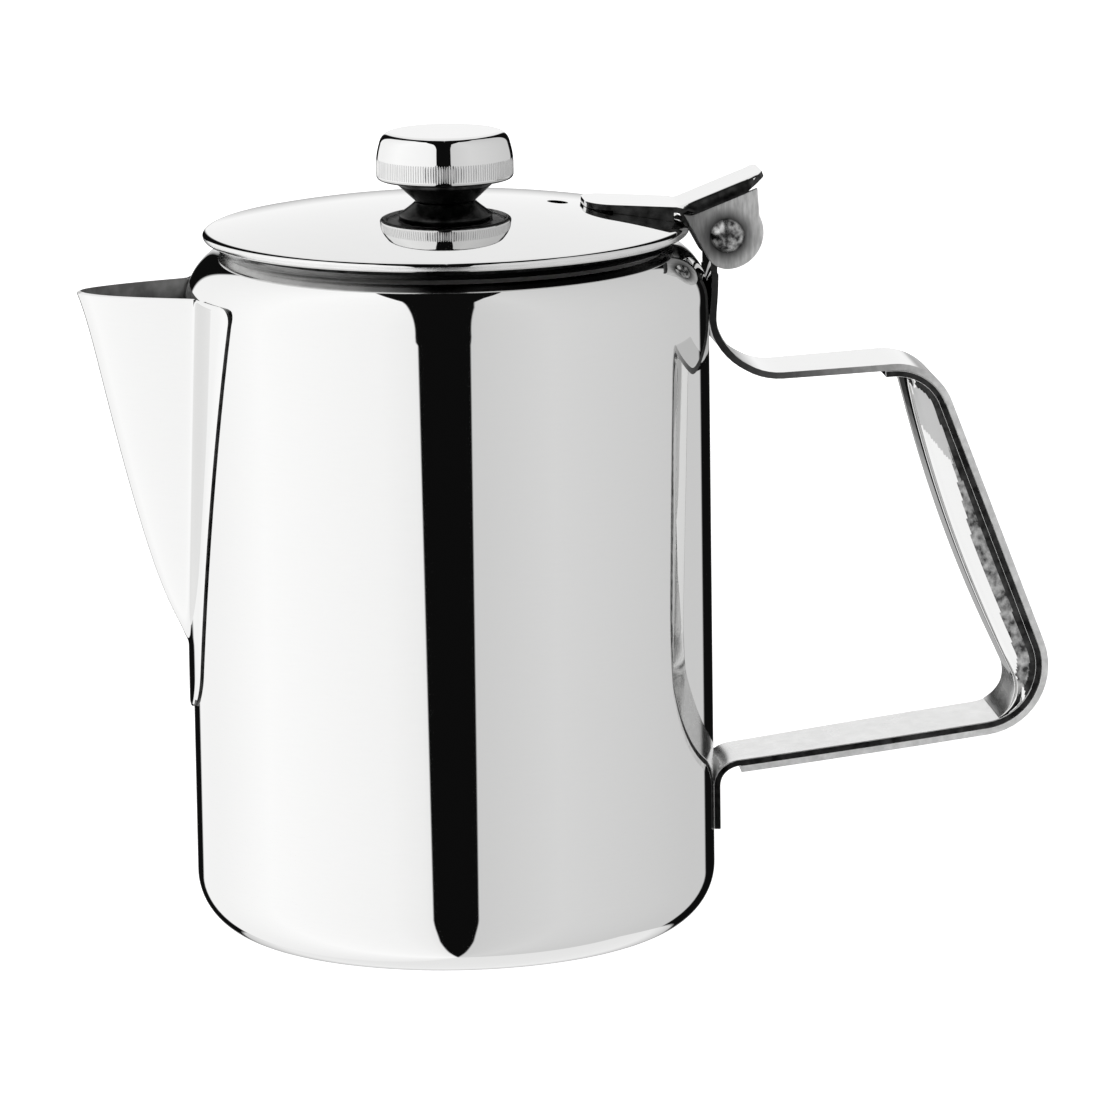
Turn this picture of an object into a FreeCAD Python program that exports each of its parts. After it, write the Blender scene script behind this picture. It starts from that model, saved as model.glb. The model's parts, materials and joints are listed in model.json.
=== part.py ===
import FreeCAD
import Part
import math
import os

from FreeCAD import Vector

# Catering coffee pot in polished sheet steel, in millimetres.
# The origin is the centre of the base, +Z is up, +X points to the handle and -X to the spout.

# Body
body_radius = 50.0
body_wall = 0.7
body_side_height = 122.0
base_corner_radius = 11.5
shoulder_radius = 9.5
shoulder_slope_deg = 15.0
neck_inset = 8.0
neck_fillet = 1.2
neck_height = 3.2

# Pour holes behind the spout
pour_hole_diameter = 5.0
pour_hole_pitch = 7.5
pour_hole_margin = 2.5

# Spout
spout_sheet = 0.8
spout_reach = 21.0
spout_rim_above_side = 4.4
spout_foot_height = 54.4
spout_root_half_width = 13.8
spout_ridge_power = 0.77
spout_root_power = 0.58
spout_tip_drop = 1.0
spout_levels = 9
spout_hollow_foot = 2.4
spout_hollow_top_share = 1.05
flange_half_width = 25.8
flange_top_above_side = 3.5
flange_corner_radius = 3.0
flange_tip_radius = 10.0
flange_tip_height = 44.4

# Handle straps
strap_thickness = 1.25
strap_tab_width = 16.0
strap_grip_width = 19.0
strap_taper_length = 40.0
strap_taper_ease = 1.2
upper_arm_rise_deg = 2.8
upper_arm_root_height = 106.5
upper_root_radius = 11.6
upper_arm_reach = 43.0
upper_bend_radius = 11.5
grip_lean_deg = 20.4
grip_length = 76.4
lower_bend_radius = 13.4
lower_arm_fall_deg = 7.0
lower_arm_end_gap = 5.0
tab_length = 12.0
tab_bend_radius = 4.0

# Crown pressed up on the inner strap to fill the hand
crown_width = 17.0
crown_edge_radius = 2.0
crown_bend_radius = 6.5
crown_grip_radius = 260.0
crown_leg_length = 40.6
crown_lean_deg = 24.7
crown_turn_deg = 11.3
crown_top_setback = 6.45
inner_strap_end_setback = 9.0

# Lid
lid_overhang = 4.4
lid_sheet = 0.8
lid_rise = 4.9
lid_rim_height = 1.9
lid_rim_lip = 3.2
vent_diameter = 4.0
vent_from_axis = 21.5
collar_sheet = 0.6
collar_depth = 4.4

# Hinge
pin_radius = 1.75
pin_head_radius = 3.3
pin_head_height = 2.0
pin_above_neck = -0.95
leaf_sheet = 1.1
leaf_width = 15.6
leaf_length = 26.8
leaf_fold_offset = 8.7
leaf_fall_deg = 3.8
leaf_fold_radius = 3.0
leaf_end_radius = 5.0
thumb_rise_deg = 21.0
thumb_length = 17.0
thumb_end_radius = 4.0
ear_radius = 7.0
ear_edge_before_pin = 5.6
ear_edge_slant_deg = 33.0

# Knob
knob_radius = 13.1
knob_top_radius = 11.9
knob_height = 9.1
knob_band_height = 4.6
knob_edge_radius = 2.5
knob_sheet = 0.9
knob_lip = 1.2
knob_stand = 4.1
cone_foot_radius = 5.8
cone_top_radius = 9.2
cone_plate_height = 1.2
screw_radius = 2.0
screw_head_radius = 3.8
screw_head_height = 2.4
screw_reach = 3.6
washer_radius = 5.2
washer_thickness = 0.8

# Clearances
weld_gap = 0.02
pin_clearance = 0.06
knuckle_side_gap = 0.3
collar_clearance = 0.4
seat_gap = 0.3
hole_clearance = 0.1

Z_AXIS = Vector(0, 0, 1)
Y_AXIS = Vector(0, 1, 0)
ORIGIN = Vector(0, 0, 0)


def tan_deg(angle):
    return math.tan(math.radians(angle))


def at(x, z):
    """Point of the pot's middle plane."""
    return Vector(x, 0, z)


def rounded_path(points, radii):
    """Edges of an open path through points whose inner corners are rounded."""
    edges = []
    start = points[0]
    for before, corner, after, radius in zip(points, points[1:], points[2:], radii):
        back = (before - corner).normalize()
        ahead = (after - corner).normalize()
        half_angle = back.getAngle(ahead) / 2
        tangent = radius / math.tan(half_angle)
        centre = corner + (back + ahead).normalize() * (radius / math.sin(half_angle))
        enter = corner + back * tangent
        leave = corner + ahead * tangent
        middle = centre + (corner - centre).normalize() * radius
        edges.append(Part.makeLine(start, enter))
        edges.append(Part.Arc(enter, middle, leave).toShape())
        start = leave
    edges.append(Part.makeLine(start, points[-1]))
    return edges


def left_offset(points, radii, distance):
    """The same path moved to its left, seen with X to the right and Z up."""
    directions = [(b - a).normalize() for a, b in zip(points, points[1:])]
    normals = [Vector(-d.z, 0, d.x) for d in directions]
    moved = [points[0] + normals[0] * distance]
    moved_radii = []
    for i in range(1, len(directions)):
        turn = directions[i - 1].x * directions[i].z - directions[i - 1].z * directions[i].x
        bisector = normals[i - 1] + normals[i]
        scale = distance / (1 + normals[i - 1].dot(normals[i]))
        moved.append(points[i] + bisector * scale)
        moved_radii.append(radii[i - 1] - math.copysign(1, turn) * distance)
    moved.append(points[-1] + normals[-1] * distance)
    return moved, moved_radii


def strip_face(points, radii, thickness):
    """Face of a sheet seen on edge: the path on one side, thickness to its left."""
    other, other_radii = left_offset(points, radii, thickness)
    edges = rounded_path(points, radii)
    edges.append(Part.makeLine(points[-1], other[-1]))
    edges += rounded_path(other[::-1], other_radii[::-1])
    edges.append(Part.makeLine(other[0], points[0]))
    return Part.Face(Part.Wire(Part.__sortEdges__(edges)))


def polygon_face(points):
    return Part.Face(Part.makePolygon(points + [points[0]]))


def revolve(face):
    return face.revolve(ORIGIN, Z_AXIS, 360)


def across(face, half_width):
    """Extrude a face of the middle plane to both sides."""
    moved = face.copy()
    moved.translate(Y_AXIS * -half_width)
    return moved.extrude(Y_AXIS * (2 * half_width))


def slab(half_width):
    """Large block that keeps only what lies within half_width of the middle plane."""
    size = 4 * body_side_height
    return Part.makeBox(size, 2 * half_width, size, Vector(-size / 2, -half_width, -size / 2))


def edges_along(shape, line):
    """Edges of a shape whose two ends lie on a line."""
    return [edge for edge in shape.Edges if all(line.distToShape(end)[0] < weld_gap for end in edge.Vertexes)]


def y_cylinder(radius, centre, y_from, y_to):
    return Part.makeCylinder(radius, y_to - y_from, Vector(centre.x, y_from, centre.z), Y_AXIS)


# Levels and radii that several pieces share
neck_radius = body_radius - neck_inset
lid_radius = neck_radius + lid_overhang
shoulder_corner_z = body_side_height + shoulder_radius * tan_deg((90 - shoulder_slope_deg) / 2)
neck_root_z = shoulder_corner_z + (body_radius - neck_radius) * tan_deg(shoulder_slope_deg)
neck_top_z = neck_root_z + neck_height
neck_bore_radius = neck_radius - body_wall
spout_rim_z = body_side_height + spout_rim_above_side
collar_flange_z = neck_top_z + seat_gap
lid_hem_z = collar_flange_z - collar_sheet - weld_gap
lid_edge_radius = lid_radius - lid_rim_height / 2
lid_edge_z = lid_hem_z + lid_rim_height
lid_top_z = lid_edge_z + lid_rise
lid_sphere_radius = (lid_edge_radius ** 2 + lid_rise ** 2) / (2 * lid_rise)
pin_x = body_radius + weld_gap + strap_thickness + pin_radius + pin_clearance
pin_z = neck_top_z + pin_above_neck
pin_centre = at(pin_x, pin_z)
leaf_inner_end = pin_x - leaf_length
knob_lip_z = lid_top_z + knob_stand
knob_plate_z = knob_lip_z + knob_lip


def lid_height(radius, below=0.0):
    """Height of the lid's top face, or of a face below it, at a radius."""
    sphere = lid_sphere_radius - below
    return lid_top_z - lid_sphere_radius + math.sqrt(sphere ** 2 - radius ** 2)


def spout_share(z):
    """How far up the spout a level is: 0 at its foot and 1 at its rim."""
    return (z - spout_foot_height) / (spout_rim_z - spout_foot_height)


def spout_half_width(z):
    return spout_root_half_width * spout_share(z) ** spout_root_power


def make_body_shell():
    path = [
        at(0, 0),
        at(body_radius, 0),
        at(body_radius, shoulder_corner_z),
        at(neck_radius, neck_root_z),
        at(neck_radius, neck_top_z),
    ]
    radii = [base_corner_radius, shoulder_radius, neck_fillet]
    shell = revolve(strip_face(path, radii, body_wall))
    row_z = body_side_height - pour_hole_pitch
    holes = []
    while spout_half_width(row_z) > pour_hole_diameter / 2 + pour_hole_margin:
        room = spout_half_width(row_z) - pour_hole_diameter / 2 - pour_hole_margin
        steps = int(room / pour_hole_pitch)
        for i in range(-steps, steps + 1):
            start = Vector(-body_radius - body_wall, i * pour_hole_pitch, row_z)
            holes.append(Part.makeCylinder(pour_hole_diameter / 2, body_radius / 2, start, Vector(1, 0, 0)))
        row_z -= pour_hole_pitch
    return shell.cut(holes)


def spout_section(z, inset):
    """Closed section of the spout: a parabola round the nose, shut by a line inside the body."""
    share = spout_share(z)
    nose = -body_radius - spout_reach * share ** spout_ridge_power + inset
    half = spout_root_half_width * share ** spout_root_power - inset
    root = -math.sqrt(body_radius ** 2 - half ** 2)
    near = Vector(root, -half, z)
    far = Vector(root, half, z)
    curve = Part.BezierCurve()
    curve.setPoles([near, Vector(2 * nose - root, 0, z), far])
    back = spout_reach - body_radius
    edges = [
        curve.toShape(),
        Part.makeLine(far, Vector(back, half, z)),
        Part.makeLine(Vector(back, half, z), Vector(back, -half, z)),
        Part.makeLine(Vector(back, -half, z), near),
    ]
    return Part.Wire(edges)


def spout_loft(inset, top_share, foot_share):
    wires = []
    for i in range(spout_levels):
        fraction = (i / (spout_levels - 1)) ** 2
        share = foot_share + (top_share - foot_share) * fraction
        z = spout_foot_height + share * (spout_rim_z - spout_foot_height)
        wires.append(spout_section(z, inset))
    return Part.makeLoft(wires, True)


def make_flange_outline():
    """Guitar-pick outline of the flange, in the YZ plane."""
    centre = Vector(0, 0, flange_tip_height + flange_tip_radius)
    corner = Vector(0, flange_half_width, body_side_height + flange_top_above_side)
    reach = corner - centre
    angle = math.atan2(reach.z, reach.y) - math.acos(flange_tip_radius / reach.Length)
    touch = centre + Vector(0, math.cos(angle), math.sin(angle)) * flange_tip_radius
    mirror = Vector(0, -touch.y, touch.z)
    tip = Vector(0, 0, flange_tip_height)
    points = [touch, corner, Vector(0, -corner.y, corner.z), mirror]
    edges = rounded_path(points, [flange_corner_radius] * 2)
    edges.append(Part.Arc(mirror, tip, touch).toShape())
    return Part.Face(Part.Wire(Part.__sortEdges__(edges)))


def make_spout():
    seat = body_radius + weld_gap
    foot_share = (spout_sheet / spout_reach) ** (1 / spout_ridge_power)
    hollow_share = (spout_hollow_foot / spout_reach) ** (1 / spout_ridge_power)
    outside = spout_loft(0.0, 1.0, foot_share)
    hollow = spout_loft(spout_sheet, spout_hollow_top_share, hollow_share)
    core = Part.makeCylinder(seat, 2 * body_side_height)
    sheet = Part.makeCylinder(seat + spout_sheet, 2 * body_side_height).cut(core)
    outline = make_flange_outline()
    flange = sheet.common(outline.extrude(Vector(-2 * body_radius, 0, 0)))
    spout = outside.cut(core).fuse(flange).cut(hollow)
    tip_x = -body_radius - spout_reach
    top = spout_rim_z + spout_tip_drop
    slant = polygon_face([
        at(tip_x - spout_sheet, spout_rim_z - spout_tip_drop),
        at(-body_radius / 2, spout_rim_z),
        at(-body_radius / 2, top),
        at(tip_x - spout_sheet, top),
    ])
    return spout.cut(across(slant, body_radius)).removeSplitter()


def strap_plan(from_x):
    """Plan outline of a strap: narrow at the body, widening to the grip."""
    narrow = strap_tab_width / 2
    wide = strap_grip_width / 2
    start = body_radius + strap_thickness
    end = start + strap_taper_length
    far = end + upper_arm_reach + grip_length
    bulge = start + strap_taper_length / 3
    near_curve = Part.BezierCurve()
    eased = wide - strap_taper_ease
    near_curve.setPoles([Vector(start, -narrow, 0), Vector(bulge, -eased, 0), Vector(end, -wide, 0)])
    far_curve = Part.BezierCurve()
    far_curve.setPoles([Vector(end, wide, 0), Vector(bulge, eased, 0), Vector(start, narrow, 0)])
    outline = [
        Part.makeLine(Vector(from_x, -narrow, 0), Vector(start, -narrow, 0)),
        near_curve.toShape(),
        Part.makeLine(Vector(end, -wide, 0), Vector(far, -wide, 0)),
        Part.makeLine(Vector(far, -wide, 0), Vector(far, wide, 0)),
        Part.makeLine(Vector(far, wide, 0), Vector(end, wide, 0)),
        far_curve.toShape(),
        Part.makeLine(Vector(start, narrow, 0), Vector(from_x, narrow, 0)),
        Part.makeLine(Vector(from_x, narrow, 0), Vector(from_x, -narrow, 0)),
    ]
    return Part.Face(Part.Wire(outline)).extrude(Z_AXIS * (2 * body_side_height))


# Corners of the outer strap's outside line
arm_up = Vector(1, 0, tan_deg(upper_arm_rise_deg)).normalize()
grip_down = Vector(math.sin(math.radians(grip_lean_deg)), 0, -math.cos(math.radians(grip_lean_deg)))
arm_back = Vector(-1, 0, -tan_deg(lower_arm_fall_deg)).normalize()
strap_outer_x = body_radius + weld_gap + strap_thickness
upper_root = at(strap_outer_x, upper_arm_root_height)
upper_corner = at(body_radius + upper_arm_reach,
                  upper_arm_root_height + (upper_arm_reach - strap_thickness) * tan_deg(upper_arm_rise_deg))
lower_corner = upper_corner + grip_down * grip_length
lower_arm_run = lower_corner.x - body_radius - lower_arm_end_gap
lower_end = lower_corner + arm_back * (lower_arm_run / -arm_back.x)
outer_line = [at(strap_outer_x, pin_z), upper_root, upper_corner, lower_corner, lower_end]
outer_radii = [upper_root_radius, upper_bend_radius, lower_bend_radius]


def make_outer_strap():
    strap = across(strip_face(outer_line, outer_radii, -strap_thickness), strap_grip_width / 2)
    strap = strap.common(strap_plan(0.0))
    knuckle_half = leaf_width / 2 - leaf_sheet - knuckle_side_gap
    ear_room = ear_radius + seat_gap
    notch_top = 4 * ear_room
    notch = Part.makeBox(2 * ear_room, strap_grip_width, notch_top,
                         Vector(pin_x - ear_room, -strap_grip_width / 2, pin_z - ear_room))
    strap = strap.cut(notch.cut(slab(knuckle_half)))
    bore = pin_radius + pin_clearance
    ring = y_cylinder(bore + strap_thickness, pin_centre, -knuckle_half, knuckle_half)
    hole = y_cylinder(bore, pin_centre, -strap_grip_width, strap_grip_width)
    return strap.fuse(ring).cut(hole).removeSplitter()


def crown_path(arm_start):
    """Crest line of the crown, from the lower arm up to the underside of the upper arm."""
    low_lean = math.radians(crown_lean_deg)
    high_lean = low_lean - math.radians(crown_turn_deg)
    low = Vector(-math.sin(low_lean), 0, math.cos(low_lean)) * crown_leg_length
    high = Vector(-math.sin(high_lean), 0, math.cos(high_lean))
    top = upper_corner - arm_up * crown_top_setback
    # the foot slides along the arm until the upper leg runs through the top
    slope = tan_deg(lower_arm_fall_deg)
    run = high.x / high.z
    level = arm_start.z - slope * arm_start.x
    foot_x = (top.x - low.x - run * (top.z - level - low.z)) / (1 - run * slope)
    foot = at(foot_x, level + slope * foot_x)
    return [arm_start, foot, foot + low, top], [crown_bend_radius, crown_grip_radius]


def make_inner_strap():
    seat_depth = strap_thickness + weld_gap
    seat, seat_radii = left_offset(outer_line[1:], outer_radii[1:], -seat_depth)
    beyond = across(strip_face(seat, seat_radii, body_radius), strap_grip_width)
    tab_x = body_radius + weld_gap + strap_thickness
    low_arm = seat[-1]
    slope = tan_deg(lower_arm_fall_deg)
    root = at(tab_x, low_arm.z - (low_arm.x - tab_x) * slope)
    end = seat[1] - arm_up * inner_strap_end_setback
    path = [at(tab_x, root.z - tab_length), root, seat[2], seat[1], end]
    radii = [tab_bend_radius] + seat_radii[::-1]
    strap = across(strip_face(path, radii, strap_thickness), strap_grip_width / 2)
    strap = strap.common(strap_plan(0.0))
    arm_top = low_arm + Vector(arm_back.z, 0, -arm_back.x) * strap_thickness
    crest, crest_radii = crown_path(arm_top)
    depth = strap_grip_width
    crown = across(strip_face(crest, crest_radii, -depth), crown_width / 2)
    rounded = []
    for side in (-1, 1):
        crest_line = Part.Wire(rounded_path(crest, crest_radii))
        crest_line.translate(Y_AXIS * (side * crown_width / 2))
        rounded += edges_along(crown, crest_line)
    crown = crown.makeFillet(crown_edge_radius, rounded).cut(beyond)
    inside, inside_radii = left_offset(crest, crest_radii, -strap_thickness)
    hollow = across(strip_face(inside, inside_radii, -depth), crown_width / 2 - strap_thickness)
    return strap.fuse(crown).cut(hollow).removeSplitter()


def make_lid_shell():
    hem_inner = lid_radius - lid_rim_lip
    under_radius = lid_edge_radius - lid_rim_height / 2
    sheet_sphere = lid_sphere_radius - lid_sheet
    rim_centre = at(lid_edge_radius, lid_hem_z + lid_rim_height / 2)
    inner_top = lid_height(under_radius, lid_sheet)
    edges = [
        Part.Arc(at(0, lid_top_z), at(lid_radius / 2, lid_height(lid_radius / 2)),
                 at(lid_edge_radius, lid_edge_z)).toShape(),
        Part.Arc(at(lid_edge_radius, lid_edge_z), rim_centre + Vector(lid_rim_height / 2, 0, 0),
                 at(lid_edge_radius, lid_hem_z)).toShape(),
        Part.makeLine(at(lid_edge_radius, lid_hem_z), at(hem_inner, lid_hem_z)),
        Part.makeLine(at(hem_inner, lid_hem_z), at(hem_inner, lid_hem_z + collar_sheet)),
        Part.makeLine(at(hem_inner, lid_hem_z + collar_sheet), at(under_radius, lid_hem_z + collar_sheet)),
        Part.makeLine(at(under_radius, lid_hem_z + collar_sheet), at(under_radius, inner_top)),
        Part.Arc(at(under_radius, inner_top), at(under_radius / 2, lid_height(under_radius / 2, lid_sheet)),
                 at(0, lid_top_z - lid_sphere_radius + sheet_sphere)).toShape(),
        Part.makeLine(at(0, lid_top_z - lid_sheet), at(0, lid_top_z)),
    ]
    lid = revolve(Part.Face(Part.Wire(edges)))
    screw_hole = Part.makeCylinder(screw_radius + hole_clearance, lid_top_z)
    vent = Part.makeCylinder(vent_diameter / 2, lid_top_z + lid_rise, Vector(vent_from_axis, 0, 0))
    return lid.cut([screw_hole, vent])


def make_lid_collar():
    radius = neck_bore_radius - collar_clearance
    under_radius = lid_edge_radius - lid_rim_height / 2
    path = [
        at(radius, neck_top_z - collar_depth),
        at(radius, collar_flange_z),
        at(under_radius - weld_gap, collar_flange_z),
    ]
    return revolve(strip_face(path, [collar_sheet], collar_sheet))


def rounded_plan(x_from, x_to, half_width, radius):
    """Plan outline with its outer end rounded, standing through the pot's height."""
    inward = math.copysign(radius, x_from - x_to)
    near = half_width - radius
    diagonal = radius * math.sqrt(0.5)
    corner_x = x_to + inward
    edges = [
        Part.makeLine(Vector(x_from, -half_width, 0), Vector(corner_x, -half_width, 0)),
        Part.Arc(Vector(corner_x, -half_width, 0),
                 Vector(corner_x - math.copysign(diagonal, inward), -near - diagonal, 0),
                 Vector(x_to, -near, 0)).toShape(),
        Part.makeLine(Vector(x_to, -near, 0), Vector(x_to, near, 0)),
        Part.Arc(Vector(x_to, near, 0),
                 Vector(corner_x - math.copysign(diagonal, inward), near + diagonal, 0),
                 Vector(corner_x, half_width, 0)).toShape(),
        Part.makeLine(Vector(corner_x, half_width, 0), Vector(x_from, half_width, 0)),
        Part.makeLine(Vector(x_from, half_width, 0), Vector(x_from, -half_width, 0)),
    ]
    return Part.Face(Part.Wire(edges)).extrude(Z_AXIS * (2 * body_side_height))


def make_hinge_leaf():
    half = leaf_width / 2
    fold_x = pin_x - leaf_fold_offset
    inner_z = lid_height(leaf_inner_end) + weld_gap + leaf_sheet
    fold = at(fold_x, inner_z - (fold_x - leaf_inner_end) * tan_deg(leaf_fall_deg))
    thumb = Vector(math.cos(math.radians(thumb_rise_deg)), 0, math.sin(math.radians(thumb_rise_deg)))
    thumb_end = fold + thumb * thumb_length
    path = [at(leaf_inner_end, inner_z), fold, thumb_end]
    leaf = across(strip_face(path, [leaf_fold_radius], -leaf_sheet), half)
    middle_x = (leaf_inner_end + fold_x) / 2
    leaf = leaf.common(rounded_plan(middle_x, leaf_inner_end, half, leaf_end_radius)
                       .fuse(rounded_plan(middle_x, thumb_end.x, half, thumb_end_radius)))
    ear_top = thumb_end - thumb * thumb_end_radius
    ear = polygon_face([
        at(leaf_inner_end, inner_z),
        at(pin_x - ear_radius, pin_z),
        at(pin_x + ear_radius, pin_z),
        ear_top,
        fold,
    ])
    ears = across(ear, half).fuse(y_cylinder(ear_radius, pin_centre, -half, half))
    above = strip_face([path[0], fold, thumb_end + thumb * ear_radius], [leaf_fold_radius], 4 * ear_radius)
    slant = Vector(-tan_deg(ear_edge_slant_deg), 0, 1) * (2 * ear_radius)
    edge = at(pin_x - ear_edge_before_pin, pin_z)
    before = at(leaf_inner_end, pin_z)
    behind = polygon_face([edge + slant, before + slant, before - slant, edge - slant])
    ears = ears.cut(slab(half - leaf_sheet)).cut([across(above, leaf_width), across(behind, leaf_width)])
    hole = y_cylinder(pin_radius + weld_gap, pin_centre, -leaf_width, leaf_width)
    return leaf.fuse(ears).cut(hole).removeSplitter()


def make_hinge_pin():
    seat = leaf_width / 2 + weld_gap
    pin = y_cylinder(pin_radius, pin_centre, -seat, seat)
    sphere = (pin_head_radius ** 2 + pin_head_height ** 2) / (2 * pin_head_height)
    for side in (-1, 1):
        ball = Part.makeSphere(sphere, Vector(pin_x, side * (seat + pin_head_height - sphere), pin_z))
        low = min(side * seat, side * (seat + pin_head_height))
        pin = pin.fuse(ball.common(y_cylinder(2 * sphere, pin_centre, low, low + pin_head_height)))
    return pin.removeSplitter()


def make_knob_cap():
    top_z = knob_lip_z + knob_height
    path = [
        at(knob_radius, knob_lip_z),
        at(knob_radius, knob_lip_z + knob_band_height),
        at(knob_top_radius, top_z),
        at(0, top_z),
    ]
    return revolve(strip_face(path, [knob_radius, knob_edge_radius], knob_sheet))


def make_knob_base():
    plate_radius = knob_radius - knob_sheet - weld_gap
    plate_top = knob_plate_z + cone_plate_height
    profile = polygon_face([
        at(0, lid_top_z),
        at(cone_foot_radius, lid_top_z),
        at(cone_top_radius, knob_plate_z),
        at(plate_radius, knob_plate_z),
        at(plate_radius, plate_top),
        at(0, plate_top),
    ])
    thread = Part.makeCylinder(screw_radius + weld_gap, screw_reach + weld_gap, at(0, lid_top_z))
    return revolve(profile).cut(thread)


def make_knob_screw():
    washer_top = lid_top_z - lid_sheet - hole_clearance
    head_top = washer_top - washer_thickness - weld_gap
    shank = Part.makeCylinder(screw_radius, lid_top_z + screw_reach - head_top, at(0, head_top))
    head = Part.makeCylinder(screw_head_radius, screw_head_height, at(0, head_top - screw_head_height))
    slot = Part.makeBox(3 * screw_head_radius, screw_radius / 2, screw_head_height,
                        Vector(-1.5 * screw_head_radius, -screw_radius / 4, head_top - 1.5 * screw_head_height))
    return shank.fuse(head).cut(slot).removeSplitter()


def make_knob_washer():
    top = lid_top_z - lid_sheet - hole_clearance
    ring = Part.makeCylinder(washer_radius, washer_thickness, at(0, top - washer_thickness))
    return ring.cut(Part.makeCylinder(screw_radius + hole_clearance, top))


PIECES = {
    "body_shell": make_body_shell,
    "spout": make_spout,
    "handle_outer_strap": make_outer_strap,
    "handle_inner_strap": make_inner_strap,
    "lid_shell": make_lid_shell,
    "lid_collar": make_lid_collar,
    "hinge_leaf": make_hinge_leaf,
    "hinge_pin": make_hinge_pin,
    "knob_cap": make_knob_cap,
    "knob_base": make_knob_base,
    "knob_screw": make_knob_screw,
    "knob_washer": make_knob_washer,
}

os.makedirs("parts", exist_ok=True)
for name, make in PIECES.items():
    shape = make()
    box = shape.BoundBox
    print(name, "solids", len(shape.Solids), "valid", shape.isValid(), "volume", round(shape.Volume, 1),
          "x", round(box.XMin, 2), round(box.XMax, 2), "y", round(box.YMin, 2), round(box.YMax, 2),
          "z", round(box.ZMin, 2), round(box.ZMax, 2))
    shape.exportStep("parts/" + name + ".step")
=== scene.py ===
import json
import math

import bmesh
import bpy
from bpy.props import FloatProperty, FloatVectorProperty, IntProperty, PointerProperty
from mathutils import Matrix, Vector


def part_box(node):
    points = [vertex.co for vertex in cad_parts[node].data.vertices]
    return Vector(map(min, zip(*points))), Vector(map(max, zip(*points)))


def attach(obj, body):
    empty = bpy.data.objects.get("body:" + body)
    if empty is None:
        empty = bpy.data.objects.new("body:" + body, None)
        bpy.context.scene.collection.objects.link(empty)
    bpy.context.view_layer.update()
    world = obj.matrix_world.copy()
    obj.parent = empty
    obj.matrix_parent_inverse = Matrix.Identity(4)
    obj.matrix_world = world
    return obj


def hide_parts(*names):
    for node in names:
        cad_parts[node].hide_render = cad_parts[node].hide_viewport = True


bl_info = {
    "name": "Polished coffee pot",
    "version": (1, 0, 0),
    "blender": (4, 5, 0),
    "location": "3D View > Sidebar > Coffee pot",
    "description": "Makes a polished sheet-steel coffee pot with a hinged lid",
    "category": "Add Mesh",
}

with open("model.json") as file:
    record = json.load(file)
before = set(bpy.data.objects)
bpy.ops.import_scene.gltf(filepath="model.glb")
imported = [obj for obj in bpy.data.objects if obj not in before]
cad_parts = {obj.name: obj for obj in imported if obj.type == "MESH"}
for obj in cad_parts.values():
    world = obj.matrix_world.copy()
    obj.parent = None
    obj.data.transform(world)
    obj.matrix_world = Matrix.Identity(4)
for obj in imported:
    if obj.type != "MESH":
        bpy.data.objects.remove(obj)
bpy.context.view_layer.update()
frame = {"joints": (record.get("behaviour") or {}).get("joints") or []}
MM = 0.001
WELD_GAP = 0.02 * MM
DRILL_DEPTH = 20 * MM
HINGE = frame["joints"][0]["pos_m"]
PIN = Vector((HINGE[0], HINGE[2]))
BODY_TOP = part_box("body_shell")[1]
LID_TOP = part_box("lid_shell")[1]
KNOB_LOW, KNOB_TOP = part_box("knob_cap")


def length(label, text, default):
    """A size in metres that a user can change."""
    return FloatProperty(name=label, description=text, default=default, unit="LENGTH", precision=5)


def angle(label, text, degrees):
    """An angle that a user can change, given here in degrees."""
    return FloatProperty(name=label, description=text, default=math.radians(degrees), subtype="ANGLE")


def share(label, text, default):
    """A value from 0 to 1 that a user can change."""
    return FloatProperty(name=label, description=text, default=default, min=0.0, max=1.0, subtype="FACTOR")


def paint(label, text, default):
    """A colour that a user can change."""
    return FloatVectorProperty(name=label, description=text, default=default, min=0.0, max=1.0,
                               subtype="COLOR")


class BodySizes(bpy.types.PropertyGroup):
    radius: length("Radius", "Outside radius of the body", BODY_TOP.y)
    wall: length("Wall", "Sheet thickness of the body", 0.7 * MM)
    side_height: length("Side height", "Top of the straight side", 122.0 * MM)
    base_corner: length("Base corner", "Radius of the corner at the base", 11.5 * MM)
    shoulder: length("Shoulder", "Radius of the shoulder", 11.3 * MM)
    shoulder_slope: angle("Shoulder slope", "Slope from the shoulder to the neck", 24.0)
    neck_inset: length("Neck inset", "How far the neck stands inside the body", 8.0 * MM)
    neck_fillet: length("Neck fillet", "Radius at the foot of the neck", 2.4 * MM)
    top: length("Top", "Height of the neck's top edge", BODY_TOP.z)
    hole_diameter: length("Hole diameter", "Diameter of the pour holes", 5.0 * MM)
    hole_pitch: length("Hole pitch", "Distance between pour holes", 7.5 * MM)
    hole_margin: length("Hole margin", "Metal left beside the pour holes", 2.5 * MM)


class SpoutSizes(bpy.types.PropertyGroup):
    sheet: length("Sheet", "Sheet thickness of the spout", 0.8 * MM)
    reach: length("Reach", "How far the fold stands out at the rim", 19.9 * MM)
    flare: length("Flare", "How far the pouring lip turns out", 1.1 * MM)
    rim: length("Rim", "Height of the rim where it meets the body", 126.4 * MM)
    tip_drop: length("Tip drop", "How much lower the lip is than the rim", 1.0 * MM)
    foot: length("Foot", "Height where the spout leaves the flange", 55.8 * MM)
    half_width: length("Half width", "Half the width of the spout at the rim", 13.8 * MM)
    fold: length("Fold", "Softness of the bend between spout and flange", 1.3 * MM)
    feather: length("Feather", "How much thinner the flange is dressed at its edge", 0.45 * MM)
    flange_half: length("Flange half width", "Half the width of the flange at its top", 25.8 * MM)
    flange_top: length("Flange top", "Height of the flange's top edge", 125.5 * MM)
    flange_corner: length("Flange corner", "Radius of the flange's top corners", 3.0 * MM)
    flange_tip: length("Flange tip", "Height of the flange's lowest point", 44.4 * MM)
    flange_tip_radius: length("Flange tip radius", "Radius of the flange's lowest point", 10.0 * MM)


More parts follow.
